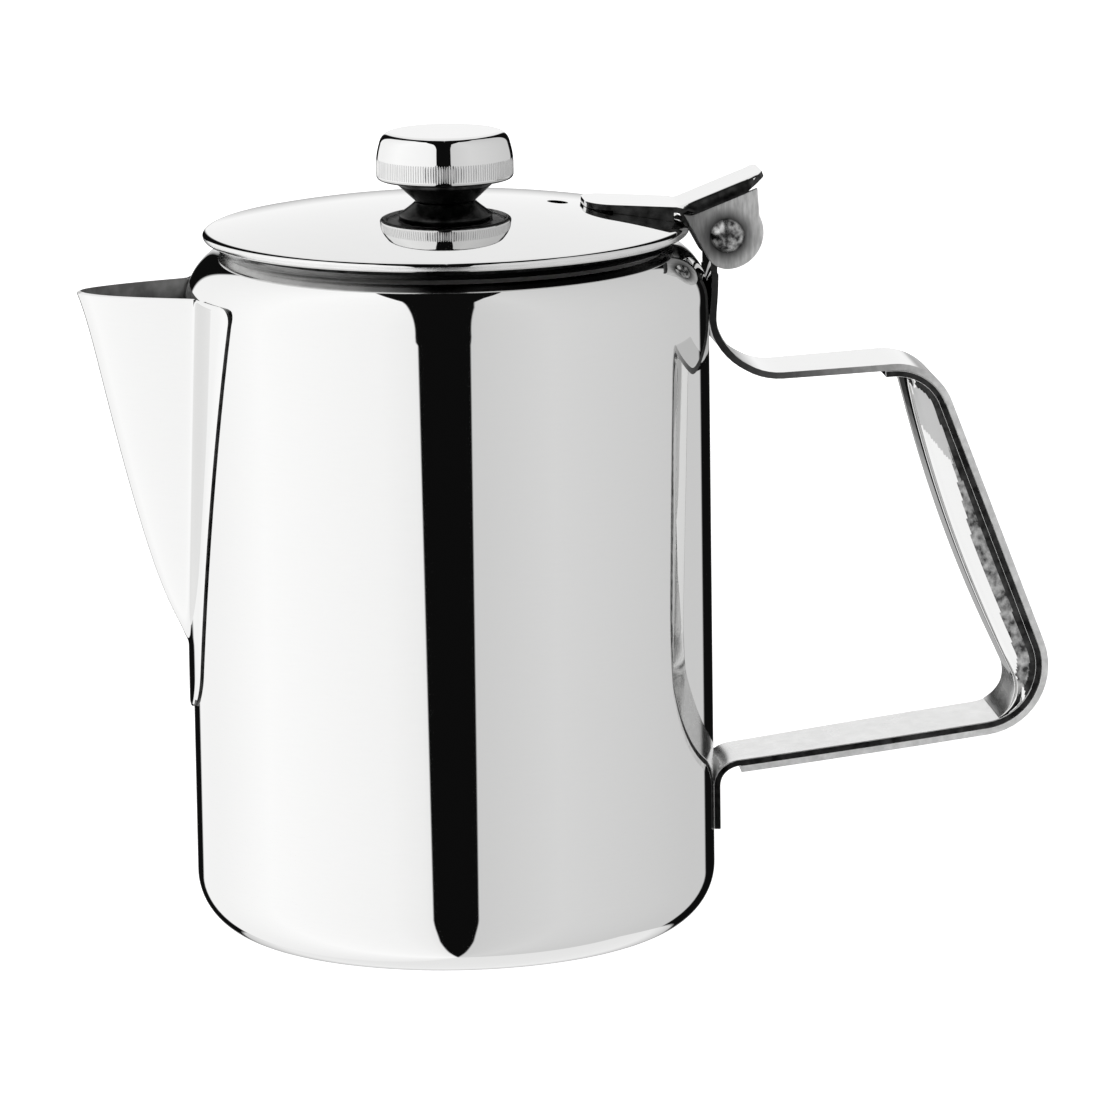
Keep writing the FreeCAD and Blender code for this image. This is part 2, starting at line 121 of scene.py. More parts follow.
class HandleSizes(bpy.types.PropertyGroup):
    strap: length("Strap", "Thickness of both straps", 1.25 * MM)
    tab_width: length("Tab width", "Width of the straps at the body", 16.0 * MM)
    grip_width: length("Grip width", "Width of the straps at the grip", 19.0 * MM)
    taper: length("Taper", "Length over which the straps widen", 40.0 * MM)
    root_height: length("Root height", "Height of the upper arm's root", 106.5 * MM)
    root_radius: length("Root radius", "Bend at the upper arm's root", 11.6 * MM)
    reach: length("Reach", "Length of the upper arm", 43.0 * MM)
    rise: angle("Rise", "Rise of the upper arm", 2.8)
    upper_bend: length("Upper bend", "Bend over the grip", 11.5 * MM)
    lean: angle("Lean", "Lean of the grip", 20.4)
    grip: length("Grip", "Length of the grip", 76.4 * MM)
    lower_bend: length("Lower bend", "Bend under the grip", 13.4 * MM)
    fall: angle("Fall", "Fall of the lower arm towards the body", 7.0)
    end_gap: length("End gap", "Distance of the outer strap's end from the body", 5.0 * MM)
    tab_length: length("Tab length", "Length of the welded tab", 12.0 * MM)
    tab_bend: length("Tab bend", "Bend of the welded tab", 4.0 * MM)
    edge: length("Edge", "Rounding of the straps' cut edges", 0.16 * MM)
    crown_width: length("Crown width", "Width of the pressed crown", 17.0 * MM)
    crown_edge: length("Crown edge", "Rounding of the crown's long edges", 1.5 * MM)
    crown_sheet: length("Crown sheet", "Thickness of the pressed crown", 0.25 * MM)
    crown_foot: length("Crown foot", "Bend at the crown's foot", 6.5 * MM)
    crown_lean: angle("Crown lean", "Lean of the crown's lower part", 24.7)
    crown_turn: angle("Crown turn", "How much steeper the crown's upper part stands", 11.3)
    crown_low: length("Crown lower part", "Length of the crown's lower part", 40.6 * MM)
    crown_bend: length("Crown bend", "Radius between the crown's two parts", 260.0 * MM)
    crown_end: length("Crown end", "Distance of the crown's end from the upper corner", 6.45 * MM)
    tail: length("Tail", "Distance of the inner strap's end from the upper corner", 9.86 * MM)


class LidSizes(bpy.types.PropertyGroup):
    radius: length("Radius", "Outside radius of the lid", LID_TOP.y)
    sheet: length("Sheet", "Sheet thickness of the lid", 0.8 * MM)
    rise: length("Rise", "Height of the dome", 4.9 * MM)
    rim: length("Rim", "Height of the rolled rim", 1.9 * MM)
    roll: length("Roll", "Width over which the dome rolls into the rim", 3.0 * MM)
    lip: length("Lip", "Width of the hem under the rim", 3.2 * MM)
    top: length("Top", "Height of the dome's crown", LID_TOP.z)
    vent: length("Vent", "Diameter of the vent hole", 4.0 * MM)
    vent_place: length("Vent place", "Distance of the vent from the middle", 21.5 * MM)
    collar_radius: length("Collar radius", "Outside radius of the collar under the lid", 40.9 * MM)
    collar_sheet: length("Collar sheet", "Sheet thickness of the collar", 0.6 * MM)


class HingeSizes(bpy.types.PropertyGroup):
    pin_radius: length("Pin radius", "Radius of the rivet's shank", 1.75 * MM)
    head_radius: length("Head radius", "Radius of the rivet's heads", 3.3 * MM)
    head_height: length("Head height", "Height of the rivet's heads", 2.0 * MM)
    sheet: length("Sheet", "Sheet thickness of the leaf", 1.1 * MM)
    width: length("Width", "Width of the leaf", 15.6 * MM)
    fold_place: length("Fold place", "Distance of the fold before the pin", 8.7 * MM)
    fold_radius: length("Fold radius", "Radius of the fold", 3.0 * MM)
    fall: angle("Fall", "Fall of the leaf towards the hinge", 3.8)
    thumb_rise: angle("Thumb rise", "Rise of the thumb lift", 21.0)
    thumb_length: length("Thumb length", "Length of the thumb lift", 17.0 * MM)
    ear_radius: length("Ear radius", "Radius of the ears round the pin", 7.0 * MM)
    ear_slant: angle("Ear slant", "Slant of the ears' edge beside the lid", 28.0)
    ear_bend: length("Ear bend", "Bend from the thumb lift down to the ears", 2.3 * MM)
    play: length("Play", "Gap between the knuckle and each ear", 0.3 * MM)


class KnobSizes(bpy.types.PropertyGroup):
    radius: length("Radius", "Radius of the knurled band", KNOB_TOP.y)
    top_radius: length("Top radius", "Radius where the side meets the top", 11.9 * MM)
    band: length("Band", "Height of the knurled band", 4.6 * MM)
    edge: length("Edge", "Rounding of the top edge", 2.5 * MM)
    sheet: length("Sheet", "Sheet thickness of the cap", 0.9 * MM)
    ridges: IntProperty(name="Ridges", description="Knurled ridges round the band", default=160, min=24)
    ridge_depth: length("Ridge depth", "Depth of the knurling", 0.12 * MM)
    foot_radius: length("Foot radius", "Radius of the cone at the lid", 5.8 * MM)
    cone_radius: length("Cone radius", "Radius of the cone under the cap", 9.2 * MM)


class SteelFinish(bpy.types.PropertyGroup):
    colour: paint("Colour", "Colour of the polished steel", (0.74, 0.74, 0.737))
    raw_colour: paint("Raw colour", "Colour of the unpolished steel", (0.27, 0.27, 0.268))
    mirror: share("Mirror roughness", "Roughness of the mirror polish", 0.018)
    satin: share("Satin roughness", "Roughness of brushed and cut faces", 0.26)


class StudioLook(bpy.types.PropertyGroup):
    floor_size: length("Floor size", "Side of the floor", 8.0)
    floor_colour: paint("Floor colour", "Colour of the floor", (0.92, 0.92, 0.92))
    floor_glow: FloatProperty(name="Floor glow", description="Light that the floor gives off", default=0.72)
    azimuth: angle("Azimuth", "Turn of the camera towards the spout", 5.5)
    elevation: angle("Elevation", "Height of the camera over the pot", 11.2485)
    distance: length("Distance", "Distance of the camera", 1.5)
    lens: FloatProperty(name="Lens", description="Focal length in millimetres", default=255.4)
    brightness: FloatProperty(name="Brightness", description="Brightness of the light tent", default=1.3)


def settings(group):
    """One of this scene's groups of sizes or colours."""
    return getattr(bpy.context.scene, group)


def deselect_all():
    """Leave edit mode with nothing selected."""
    if bpy.context.mode != "OBJECT":
        bpy.ops.object.mode_set(mode="OBJECT")
    bpy.ops.object.select_all(action="DESELECT")


def pick(piece):
    """Make one piece the only selected and active one."""
    deselect_all()
    piece.select_set(True)
    bpy.context.view_layer.objects.active = piece


def apply_modifier(piece, kind, **values):
    """Add a modifier, set its values and apply it."""
    pick(piece)
    modifier = piece.modifiers.new(kind.title(), kind)
    for name, value in values.items():
        setattr(modifier, name, value)
    bpy.ops.object.modifier_apply(modifier=modifier.name)


def add(primitive, name, **values):
    """Add a mesh primitive by its name, on its own, and name the piece."""
    deselect_all()
    getattr(bpy.ops.mesh, f"primitive_{primitive}_add")(**values)
    piece = bpy.context.object
    piece.name = name
    return piece


def clamp(value):
    """The value, held between 0 and 1."""
    return min(max(value, 0.0), 1.0)


def left_of(vector):
    """Flat vector of length 1, a quarter turn to the left."""
    return Vector((-vector.y, vector.x)).normalized()


def turned(vector, turn):
    """A flat vector turned to the left by an angle."""
    return Matrix.Rotation(turn, 2) @ vector


def rounded(corners, radii, steps=12):
    """Points along a line through flat corners, with the inner corners rounded."""
    corners = [Vector(corner) for corner in corners]
    points = [corners[0]]
    for before, corner, after, radius in zip(corners, corners[1:], corners[2:], radii):
        back = (before - corner).normalized()
        ahead = (after - corner).normalized()
        half = back.angle(ahead) / 2
        tangent = radius / math.tan(half)
        centre = corner + (back + ahead).normalized() * (radius / math.sin(half))
        start = corner + back * tangent - centre
        end = corner + ahead * tangent - centre
        sweep = math.atan2(start.x * end.y - start.y * end.x, start.dot(end))
        points += [centre + turned(start, sweep * i / steps) for i in range(steps + 1)]
    points.append(corners[-1])
    return points


def supported(points, near=0.6 * MM, longest=4.0 * MM):
    """The same line with extra points along its long straight runs, so that they shade flat."""
    line = [points[0]]
    for start, end in zip(points, points[1:]):
        run = end - start
        if run.length > 4 * near:
            inner_start = start + run.normalized() * near
            inner_end = end - run.normalized() * near
            count = max(1, math.ceil((inner_end - inner_start).length / longest))
            line += [inner_start.lerp(inner_end, i / count) for i in range(count + 1)]
        line.append(end)
    return [point for i, point in enumerate(line) if i == 0 or (point - line[i - 1]).length > 1e-7]


def beside(points, distance):
    """The same line moved to its left."""
    moved = []
    for i, point in enumerate(points):
        along = points[min(i + 1, len(points) - 1)] - points[max(i - 1, 0)]
        moved.append(point + left_of(along) * distance)
    return moved


def turn_on_lathe(name, profile, steps=192, axis=(0, 0, 1), centre=(0, 0, 0)):
    """Mesh spun round an axis from a line of (radius, height) points."""
    piece = add("plane", name, size=MM)
    bpy.ops.object.mode_set(mode="EDIT")
    bpy.ops.mesh.select_all(action="SELECT")
    bpy.ops.mesh.merge(type="CENTER")
    outward = Vector((1, 0, 0))
    spots = [Vector(centre) + outward * point.x + Vector(axis) * point.y for point in profile]
    bpy.ops.transform.translate(value=spots[0])
    for before, after in zip(spots, spots[1:]):
        bpy.ops.mesh.extrude_vertices_move(TRANSFORM_OT_translate={"value": after - before})
    bpy.ops.mesh.select_all(action="SELECT")
    bpy.ops.mesh.spin(steps=steps, angle=2 * math.pi, center=centre, axis=axis)
    bpy.ops.mesh.select_all(action="SELECT")
    bpy.ops.mesh.remove_doubles(threshold=0.002 * MM)
    bpy.ops.mesh.normals_make_consistent(inside=False)
    bpy.ops.object.mode_set(mode="OBJECT")
    return piece


def lay_sheet(name, columns, rows, place):
    """Grid of columns by rows faces, each vertex put where place(column, row) says."""
    piece = add("grid", name, x_subdivisions=columns, y_subdivisions=rows, size=1)
    for vertex in piece.data.vertices:
        column = round((vertex.co.x + 0.5) * columns)
        row = round((vertex.co.y + 0.5) * rows)
        vertex.co = place(column, row)
    piece.data.update()
    return piece


def cut_plate(name, outline, y_from, y_to):
    """Plate cut to an outline of (x, z) points and given its thickness across the pot."""
    piece = add("circle", name, vertices=len(outline), radius=MM, fill_type="NGON")
    for vertex, point in zip(piece.data.vertices, outline):
        vertex.co = (point.x, y_from, point.y)
    bpy.ops.object.mode_set(mode="EDIT")
    bpy.ops.mesh.select_all(action="SELECT")
    bpy.ops.mesh.extrude_region_move(TRANSFORM_OT_translate={"value": (0, y_to - y_from, 0)})
    bpy.ops.mesh.select_all(action="SELECT")
    bpy.ops.mesh.normals_make_consistent(inside=False)
    bpy.ops.object.mode_set(mode="OBJECT")
    return piece


def cut_out(piece, tool):
    """Cut a tool's shape out of a piece and clear the tool away."""
    apply_modifier(piece, "BOOLEAN", operation="DIFFERENCE", solver="EXACT", object=tool)
    bpy.data.objects.remove(tool)


def drill(piece, holes):
    """Cut rods, given as (centre, axis, radius), out of a piece."""
    drills = []
    for centre, axis, radius in holes:
        turn = Vector((0, 0, 1)).rotation_difference(Vector(axis)).to_euler()
        drills.append(add("cylinder", "pot_drill", vertices=48, radius=radius, depth=DRILL_DEPTH,
                          location=centre, rotation=turn))
    for tool in drills:
        tool.select_set(True)
    if len(drills) > 1:
        bpy.ops.object.join()
    cut_out(piece, bpy.context.object)


def dress(piece, materials):
    """Fill a piece's material slots in order."""
    while len(piece.data.materials) < len(materials):
        piece.data.materials.append(None)
    for i, material in enumerate(materials):
        piece.data.materials[i] = material


def join(pieces, materials):
    """Make one piece of several that share a list of materials."""
    for piece in pieces:
        dress(piece, materials)
    pick(pieces[0])
    for piece in pieces[1:]:
        piece.select_set(True)
    bpy.ops.object.join()
    return pieces[0]


def soften(piece, width, segments=3):
    """Round the cut edges and keep the broad faces flat."""
    apply_modifier(piece, "BEVEL", width=width, segments=segments, limit_method="ANGLE",
                   angle_limit=math.radians(50))
    pick(piece)
    bpy.ops.object.shade_smooth_by_angle(angle=math.radians(40))
    apply_modifier(piece, "WEIGHTED_NORMAL", mode="FACE_AREA", keep_sharp=True)


def smooth(piece, degrees=35):
    """Shade a piece smooth, apart from its sharp edges."""
    pick(piece)
    bpy.ops.object.shade_smooth_by_angle(angle=math.radians(degrees))


def hand_over(piece, node, body, materials, fit=1.0 * MM):
    """Check a finished piece against its solid, give it its finish and let it ride."""
    mesh = bmesh.new()
    mesh.from_mesh(piece.data)
    volume = mesh.calc_volume(signed=True)
    mesh.free()
    if volume <= 0:
        raise RuntimeError(f"{piece.name} is inside out")
    low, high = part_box(node)
    for axis in range(3):
        places = [vertex.co[axis] for vertex in piece.data.vertices]
        off = max(abs(min(places) - low[axis]), abs(max(places) - high[axis]))
        if off > fit:
            raise RuntimeError(f"{piece.name} is {off / MM:.2f} mm off its solid along axis {axis}")
    dress(piece, materials)
    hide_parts(node)
    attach(piece, body)


def finish_faces(piece, index, wanted):
    """Give the faces that wanted(face) picks another finish."""
    while len(piece.data.materials) <= index:
        piece.data.materials.append(None)
    for face in piece.data.polygons:
        if wanted(face):
            face.material_index = index


def link(tree, source, target):
    """Join two sockets of a node tree."""
    tree.links.new(source, target)


def math_node(tree, operation, first, second=0.0, clamped=False):
    """One math node, whose inputs are sockets or plain numbers."""
    node = tree.nodes.new("ShaderNodeMath")
    node.operation = operation
    node.use_clamp = clamped
    for socket, value in zip(node.inputs, (first, second)):
        if isinstance(value, (int, float)):
            socket.default_value = value
        else:
            link(tree, value, socket)
    return node.outputs[0]


def ramp_node(tree, source, stops):
    """Grey ramp through (place, value) stops."""
    node = tree.nodes.new("ShaderNodeValToRGB")
    while len(node.color_ramp.elements) < len(stops):
        node.color_ramp.elements.new(0.5)
    for element, (place, value) in zip(node.color_ramp.elements, stops):
        element.position = place
        element.color = (value, value, value, 1)
    link(tree, source, node.inputs[0])
    return node.outputs[0]


def marks_group():
    """Node group: faint drawn-out scratches and cloudy smears of handling."""
    name = "handling_marks"
    if name in bpy.data.node_groups:
        return bpy.data.node_groups[name]
    tree = bpy.data.node_groups.new(name, "ShaderNodeTree")
    for label, default in (("Base Roughness", 0.03), ("Smear", 0.02), ("Scratch", 0.02), ("Scale", 60.0)):
        socket = tree.interface.new_socket(label, in_out="INPUT", socket_type="NodeSocketFloat")
        socket.default_value = default
    stretch = tree.interface.new_socket("Stretch", in_out="INPUT", socket_type="NodeSocketVector")
    stretch.default_value = (1, 1, 12)
    for label in ("Roughness", "Height", "Wear"):
        tree.interface.new_socket(label, in_out="OUTPUT", socket_type="NodeSocketFloat")
    inside = tree.nodes.new("NodeGroupInput")
    outside = tree.nodes.new("NodeGroupOutput")
    coords = tree.nodes.new("ShaderNodeTexCoord")
    cloud = tree.nodes.new("ShaderNodeTexNoise")
    cloud.inputs["Detail"].default_value = 5
    link(tree, coords.outputs["Object"], cloud.inputs["Vector"])
    link(tree, inside.outputs["Scale"], cloud.inputs["Scale"])
    drawn = tree.nodes.new("ShaderNodeVectorMath")
    drawn.operation = "MULTIPLY"
    link(tree, coords.outputs["Object"], drawn.inputs[0])
    link(tree, inside.outputs["Stretch"], drawn.inputs[1])
    hairs = tree.nodes.new("ShaderNodeTexNoise")
    hairs.inputs["Scale"].default_value = 260
    hairs.inputs["Detail"].default_value = 4
    link(tree, drawn.outputs[0], hairs.inputs["Vector"])
    smear = math_node(tree, "MULTIPLY", cloud.outputs[0], inside.outputs["Smear"])
    scratch = math_node(tree, "MULTIPLY", hairs.outputs[0], inside.outputs["Scratch"])
    both = math_node(tree, "ADD", smear, scratch)
    link(tree, math_node(tree, "ADD", both, inside.outputs["Base Roughness"]), outside.inputs["Roughness"])
    link(tree, scratch, outside.inputs["Height"])
    link(tree, ramp_node(tree, hairs.outputs[0], [(0.35, 0.0), (0.7, 1.0)]), outside.inputs["Wear"])
    return tree


def steel(name, tones, rough, smear, scratch, bump, scale=60.0, stretch=(1, 1, 12), colour=None, shade=None):
    """Metal whose shine is broken by handling marks.

    The two tones are shares of its colour, and shade(tree) makes a mask of painted shade that darkens parts
    of it.
    """
    if name in bpy.data.materials:
        return bpy.data.materials[name]
    colour = colour or settings("pot_steel").colour
    material = bpy.data.materials.new(name)
    material.use_nodes = True
    tree = material.node_tree
    shader = tree.nodes["Principled BSDF"]
    shader.inputs["Metallic"].default_value = 1.0
    marks = tree.nodes.new("ShaderNodeGroup")
    marks.node_tree = marks_group()
    for label, value in (("Base Roughness", rough), ("Smear", smear), ("Scratch", scratch), ("Scale", scale),
                         ("Stretch", stretch)):
        marks.inputs[label].default_value = value
    tone = tree.nodes.new("ShaderNodeMix")
    tone.data_type = "RGBA"
    link(tree, marks.outputs["Wear"], tone.inputs["Factor"])
    for label, part in zip(("A", "B"), tones):
        tone.inputs[label].default_value = (*(channel * part for channel in colour), 1)
    link(tree, tone.outputs["Result"], shader.inputs["Base Color"])
    link(tree, marks.outputs["Roughness"], shader.inputs["Roughness"])
    grain = tree.nodes.new("ShaderNodeBump")
    grain.inputs["Strength"].default_value = bump
    grain.inputs["Distance"].default_value = 0.05 * MM
    link(tree, marks.outputs["Height"], grain.inputs["Height"])
    link(tree, grain.outputs["Normal"], shader.inputs["Normal"])
    if shade:
        darken(material, shade(tree))
    return material


def darken(material, mask):
    """Paint shade into a material's colour by a mask that is 1 where it stays as it is."""
    tree = material.node_tree
    shader = tree.nodes["Principled BSDF"]
    shade = tree.nodes.new("ShaderNodeMix")
    shade.data_type = "RGBA"
    shade.blend_type = "MULTIPLY"
    shade.inputs["Factor"].default_value = 1.0
    link(tree, shader.inputs["Base Color"].links[0].from_socket, shade.inputs["A"])
    link(tree, mask, shade.inputs["B"])
    link(tree, shade.outputs["Result"], shader.inputs["Base Color"])


def own_place(tree):
    """Object coordinates of the piece, as X, Y and Z sockets."""
    coords = tree.nodes.new("ShaderNodeTexCoord")
    split = tree.nodes.new("ShaderNodeSeparateXYZ")
    link(tree, coords.outputs["Object"], split.inputs[0])
    return split.outputs


def mirror_steel():
    """Faces polished to a mirror."""
    return steel("mirror_steel", tones=(0.993, 1.0), rough=settings("pot_steel").mirror, smear=0.01,
                 scratch=0.004, bump=0.006)


def satin_steel():
    """Faces left with a soft shine."""
    return steel("satin_steel", tones=(0.7, 0.86), rough=settings("pot_steel").satin, smear=0.08, scratch=0.1,
                 bump=0.4, stretch=(1, 1, 1))


def rim_steel():
    """Rolled rim of the lid, rubbed by years of closing."""
    return steel("rim_steel", tones=(0.9, 1.0), rough=0.19, smear=0.08, scratch=0.06, bump=0.1, scale=90.0,
                 stretch=(1, 1, 8))


def rivet_steel():
    """Hammered rivet heads."""
    return steel("rivet_steel", tones=(0.05, 0.9), rough=0.17, smear=0.06, scratch=0.12, bump=0.8,
                 scale=420.0, stretch=(2.2, 1.5, 2.6))


def painted_shade_steel():
    """Near-black steel as painted shade on sheared edges, bends, undersides and gaps, which are also left
    unpolished.
    """
    return steel("painted_shade_steel", tones=(0.02, 0.08), rough=0.2, smear=0.1, scratch=0.1, bump=0.4, scale=200.0,
                 stretch=(2, 1, 2))


def pressed_steel():
    """Foot of the crown's wall, marked by the press."""
    return steel("pressed_steel", tones=(0.05, 0.6), rough=0.16, smear=0.1, scratch=0.2, bump=1.0,
                 scale=300.0, stretch=(3, 1, 2.4))


def raw_steel():
    """Inside of the spout, left as it was rolled."""
    return steel("raw_steel", tones=(0.45, 1.0), rough=0.3, smear=0.2, scratch=0.1, bump=0.5, scale=220.0,
                 stretch=(1, 1, 1), colour=settings("pot_steel").raw_colour)


def neck_painted_shade_steel():
    """Neck and hem under the rim, with painted shade that darkens them more and more towards the hinge."""
    def shade(tree):
        along = math_node(tree, "ADD", math_node(tree, "DIVIDE", own_place(tree)["X"], 100 * MM), 0.5)
        hinge_shade = ramp_node(tree, along, [(0.08, 1.0), (0.25, 0.75), (0.42, 0.2), (0.6, 0.08), (1.0, 0.05)])
        return math_node(tree, "POWER", hinge_shade, 2.0)

    return steel("neck_painted_shade_steel", tones=(0.8, 1.0), rough=0.15, smear=0.08, scratch=0.06, bump=0.2, shade=shade)


def inside_depth_shade_steel():
    """Inside of the body, left matt by the scouring, with painted shade that darkens it with depth."""
    def shade(tree):
        level = math_node(tree, "DIVIDE", own_place(tree)["Z"], BODY_TOP.z)
        return ramp_node(tree, level, [(0.5, 0.1), (0.72, 0.3), (0.9, 0.8), (0.97, 1.0)])

    return steel("inside_depth_shade_steel", tones=(1.15, 1.3), rough=0.82, smear=0.1, scratch=0.08, bump=0.3,
                 stretch=(1, 1, 6), shade=shade)


def cut_edge_shade_steel():
    """Sheared and tumbled edge of a strap, with painted shade that darkens it high up near the hinge and
    fades towards the grip and lower down.
    """
    def shade(tree):
        place = own_place(tree)
        reach = math_node(tree, "DIVIDE", place["X"], 100 * MM)
        level = math_node(tree, "DIVIDE", place["Z"], 100 * MM)
        # Painted shade: far darkens the edge near the hinge, and low clears it lower down.
        far = ramp_node(tree, reach, [(0.52, 0.05), (0.66, 0.18), (0.84, 0.6), (0.95, 1.0)])
        low = ramp_node(tree, level, [(0.8, 1.0), (0.95, 0.0)])
        return math_node(tree, "MAXIMUM", far, low)

    return steel("cut_edge_shade_steel", tones=(1.0, 1.25), rough=0.36, smear=0.1, scratch=0.12, bump=0.5,
                 stretch=(3, 1, 3), shade=shade)


def brushed_ear_shade_steel():
    """Ears that keep their brushing, with painted shade round the rivet and towards the lid."""
    def shade(tree):
        coords = tree.nodes.new("ShaderNodeTexCoord")
        place = tree.nodes.new("ShaderNodeMapping")
        place.inputs["Location"].default_value = (-HINGE[0], 0, -HINGE[2])
        place.inputs["Scale"].default_value = (1, 0, 1)
        link(tree, coords.outputs["Object"], place.inputs["Vector"])
        away = tree.nodes.new("ShaderNodeVectorMath")
        away.operation = "LENGTH"
        link(tree, place.outputs[0], away.inputs[0])
        split = tree.nodes.new("ShaderNodeSeparateXYZ")
        link(tree, place.outputs[0], split.inputs[0])
        spread = math_node(tree, "DIVIDE", away.outputs["Value"], 10 * MM)
        across = math_node(tree, "ADD", math_node(tree, "DIVIDE", split.outputs["X"], 20 * MM), 0.5)
        rivet_shade = ramp_node(tree, spread, [(0.33, 0.12), (0.42, 0.4), (0.56, 0.9), (0.7, 1.0)])
        # Painted shade: darker on the ear's side towards the lid.
        side = ramp_node(tree, across, [(0.18, 0.35), (0.45, 0.75), (0.7, 1.0)])
        return math_node(tree, "MULTIPLY", rivet_shade, side)

    return steel("brushed_ear_shade_steel", tones=(0.75, 1.2), rough=settings("pot_steel").satin * 0.8, smear=0.12,
                 scratch=0.2, bump=1.0, scale=140.0, stretch=(5, 1, 1), shade=shade)


def from_axis(spot):
    """Distance of a spot from the pot's axis."""
    return math.hypot(spot.x, spot.y)


def lid_height(radius, below=0.0):
    """Height of the dome's top face, or of a face below it."""
    lid = settings("pot_lid")
    edge = lid.radius - lid.rim / 2
    sphere = (edge ** 2 + lid.rise ** 2) / (2 * lid.rise)
    return lid.top - sphere + math.sqrt((sphere - below) ** 2 - radius ** 2)


def lid_slope(radius):
    """Fall of the dome at a radius."""
    step = 0.1 * MM
    return (lid_height(radius) - lid_height(radius + step)) / step


class COFFEEPOT_OT_body(bpy.types.Operator):
    """Turn the body from one profile and pierce it behind the spout"""
    bl_idname = "coffeepot.body"
    bl_label = "Body"

    def execute(self, context):
        body = settings("pot_body")
        neck = body.radius - body.neck_inset
        shoulder_z = body.side_height + body.shoulder * math.tan((math.pi / 2 - body.shoulder_slope) / 2)
        neck_z = shoulder_z + body.neck_inset * math.tan(body.shoulder_slope)
        corners = [(0, 0), (body.radius, 0), (body.radius, shoulder_z), (neck, neck_z), (neck, body.top)]
        line = rounded(corners, [body.base_corner, body.shoulder, body.neck_fillet], 20)
        piece = turn_on_lathe("pot_body", supported(line, longest=3 * MM), 224)
        apply_modifier(piece, "SOLIDIFY", thickness=body.wall, offset=-1)
        drill(piece, self.pour_holes(body))
        smooth(piece)
        base_zone = 5 * MM
        # Painted shade in the gap under the lid's rim: the neck darkens from just below its foot and goes
        # near-black higher up.
        neck_shade_from = neck_z - 0.45 * MM
        gap_shade_from = neck_z + 0.4 * MM

        def inward(face):
            out = Vector((face.center.x, face.center.y, 0)).normalized()
            rise = -face.normal.z if face.center.z < base_zone else face.normal.z
            return face.normal.dot(out) + rise < -0.2

        # Inside faces: matt steel with painted shade, darker with depth.
        finish_faces(piece, 1, inward)
        finish_faces(piece, 3, lambda face: face.center.z > neck_shade_from and not inward(face))
        finish_faces(piece, 2, lambda face: face.center.z > gap_shade_from and not inward(face))
        hand_over(piece, "body_shell", "pot",
                  [mirror_steel(), inside_depth_shade_steel(), painted_shade_steel(), neck_painted_shade_steel()])
        return {"FINISHED"}

    def pour_holes(self, body):
        """Rods for the rows of holes that the spout covers."""
        holes = []
        edge = body.hole_diameter / 2 + body.hole_margin
        row = body.side_height - body.hole_pitch
        while spout_half_width(row) >= edge:
            steps = int((spout_half_width(row) - edge) / body.hole_pitch)
            for i in range(-steps, steps + 1):
                holes.append(((-body.radius, i * body.hole_pitch, row), (1, 0, 0), body.hole_diameter / 2))
            row -= body.hole_pitch
        return holes


SPOUT_WIDENING = 0.58
SPOUT_SWELL = 0.71
SPOUT_FOOT_EASE = 3.6 * MM
LIP_CURL = 14


def spout_share(z):
    """How far up the spout a height is, from 0 at its foot to 1 at its rim."""
    spout = settings("pot_spout")
    return max(0.0, (z - spout.foot) / (spout.rim - spout.foot))


def spout_half_width(z):
    """Half width of the spout at a height."""
    return settings("pot_spout").half_width * spout_share(z) ** SPOUT_WIDENING


def spout_out(z):
    """How far the fold of the spout stands out from the body at a height."""
    spout = settings("pot_spout")
    part = spout_share(z)
    start = 1 - math.exp(-max(z - spout.foot, 0.0) / SPOUT_FOOT_EASE)
    return spout.reach * part ** SPOUT_SWELL * start + spout.flare * part ** LIP_CURL


def flange_half(z):
    """Half width of the flange at a height."""
    spout = settings("pot_spout")
    centre = spout.flange_tip + spout.flange_tip_radius
    reach_y = spout.flange_half
    reach_z = spout.flange_top - centre
    lean = math.atan2(reach_z, reach_y) - math.acos(spout.flange_tip_radius / math.hypot(reach_y, reach_z))
    touch_y = spout.flange_tip_radius * math.cos(lean)
    touch_z = centre + spout.flange_tip_radius * math.sin(lean)
    if z < touch_z:
        return math.sqrt(max(0.0, spout.flange_tip_radius ** 2 - (z - centre) ** 2))
    half = touch_y + (spout.flange_half - touch_y) * (z - touch_z) / (spout.flange_top - touch_z)
    corner_z = z - (spout.flange_top - spout.flange_corner)
    if corner_z > 0:
        half -= spout.flange_corner - math.sqrt(max(0.0, spout.flange_corner ** 2 - corner_z ** 2))
    return half


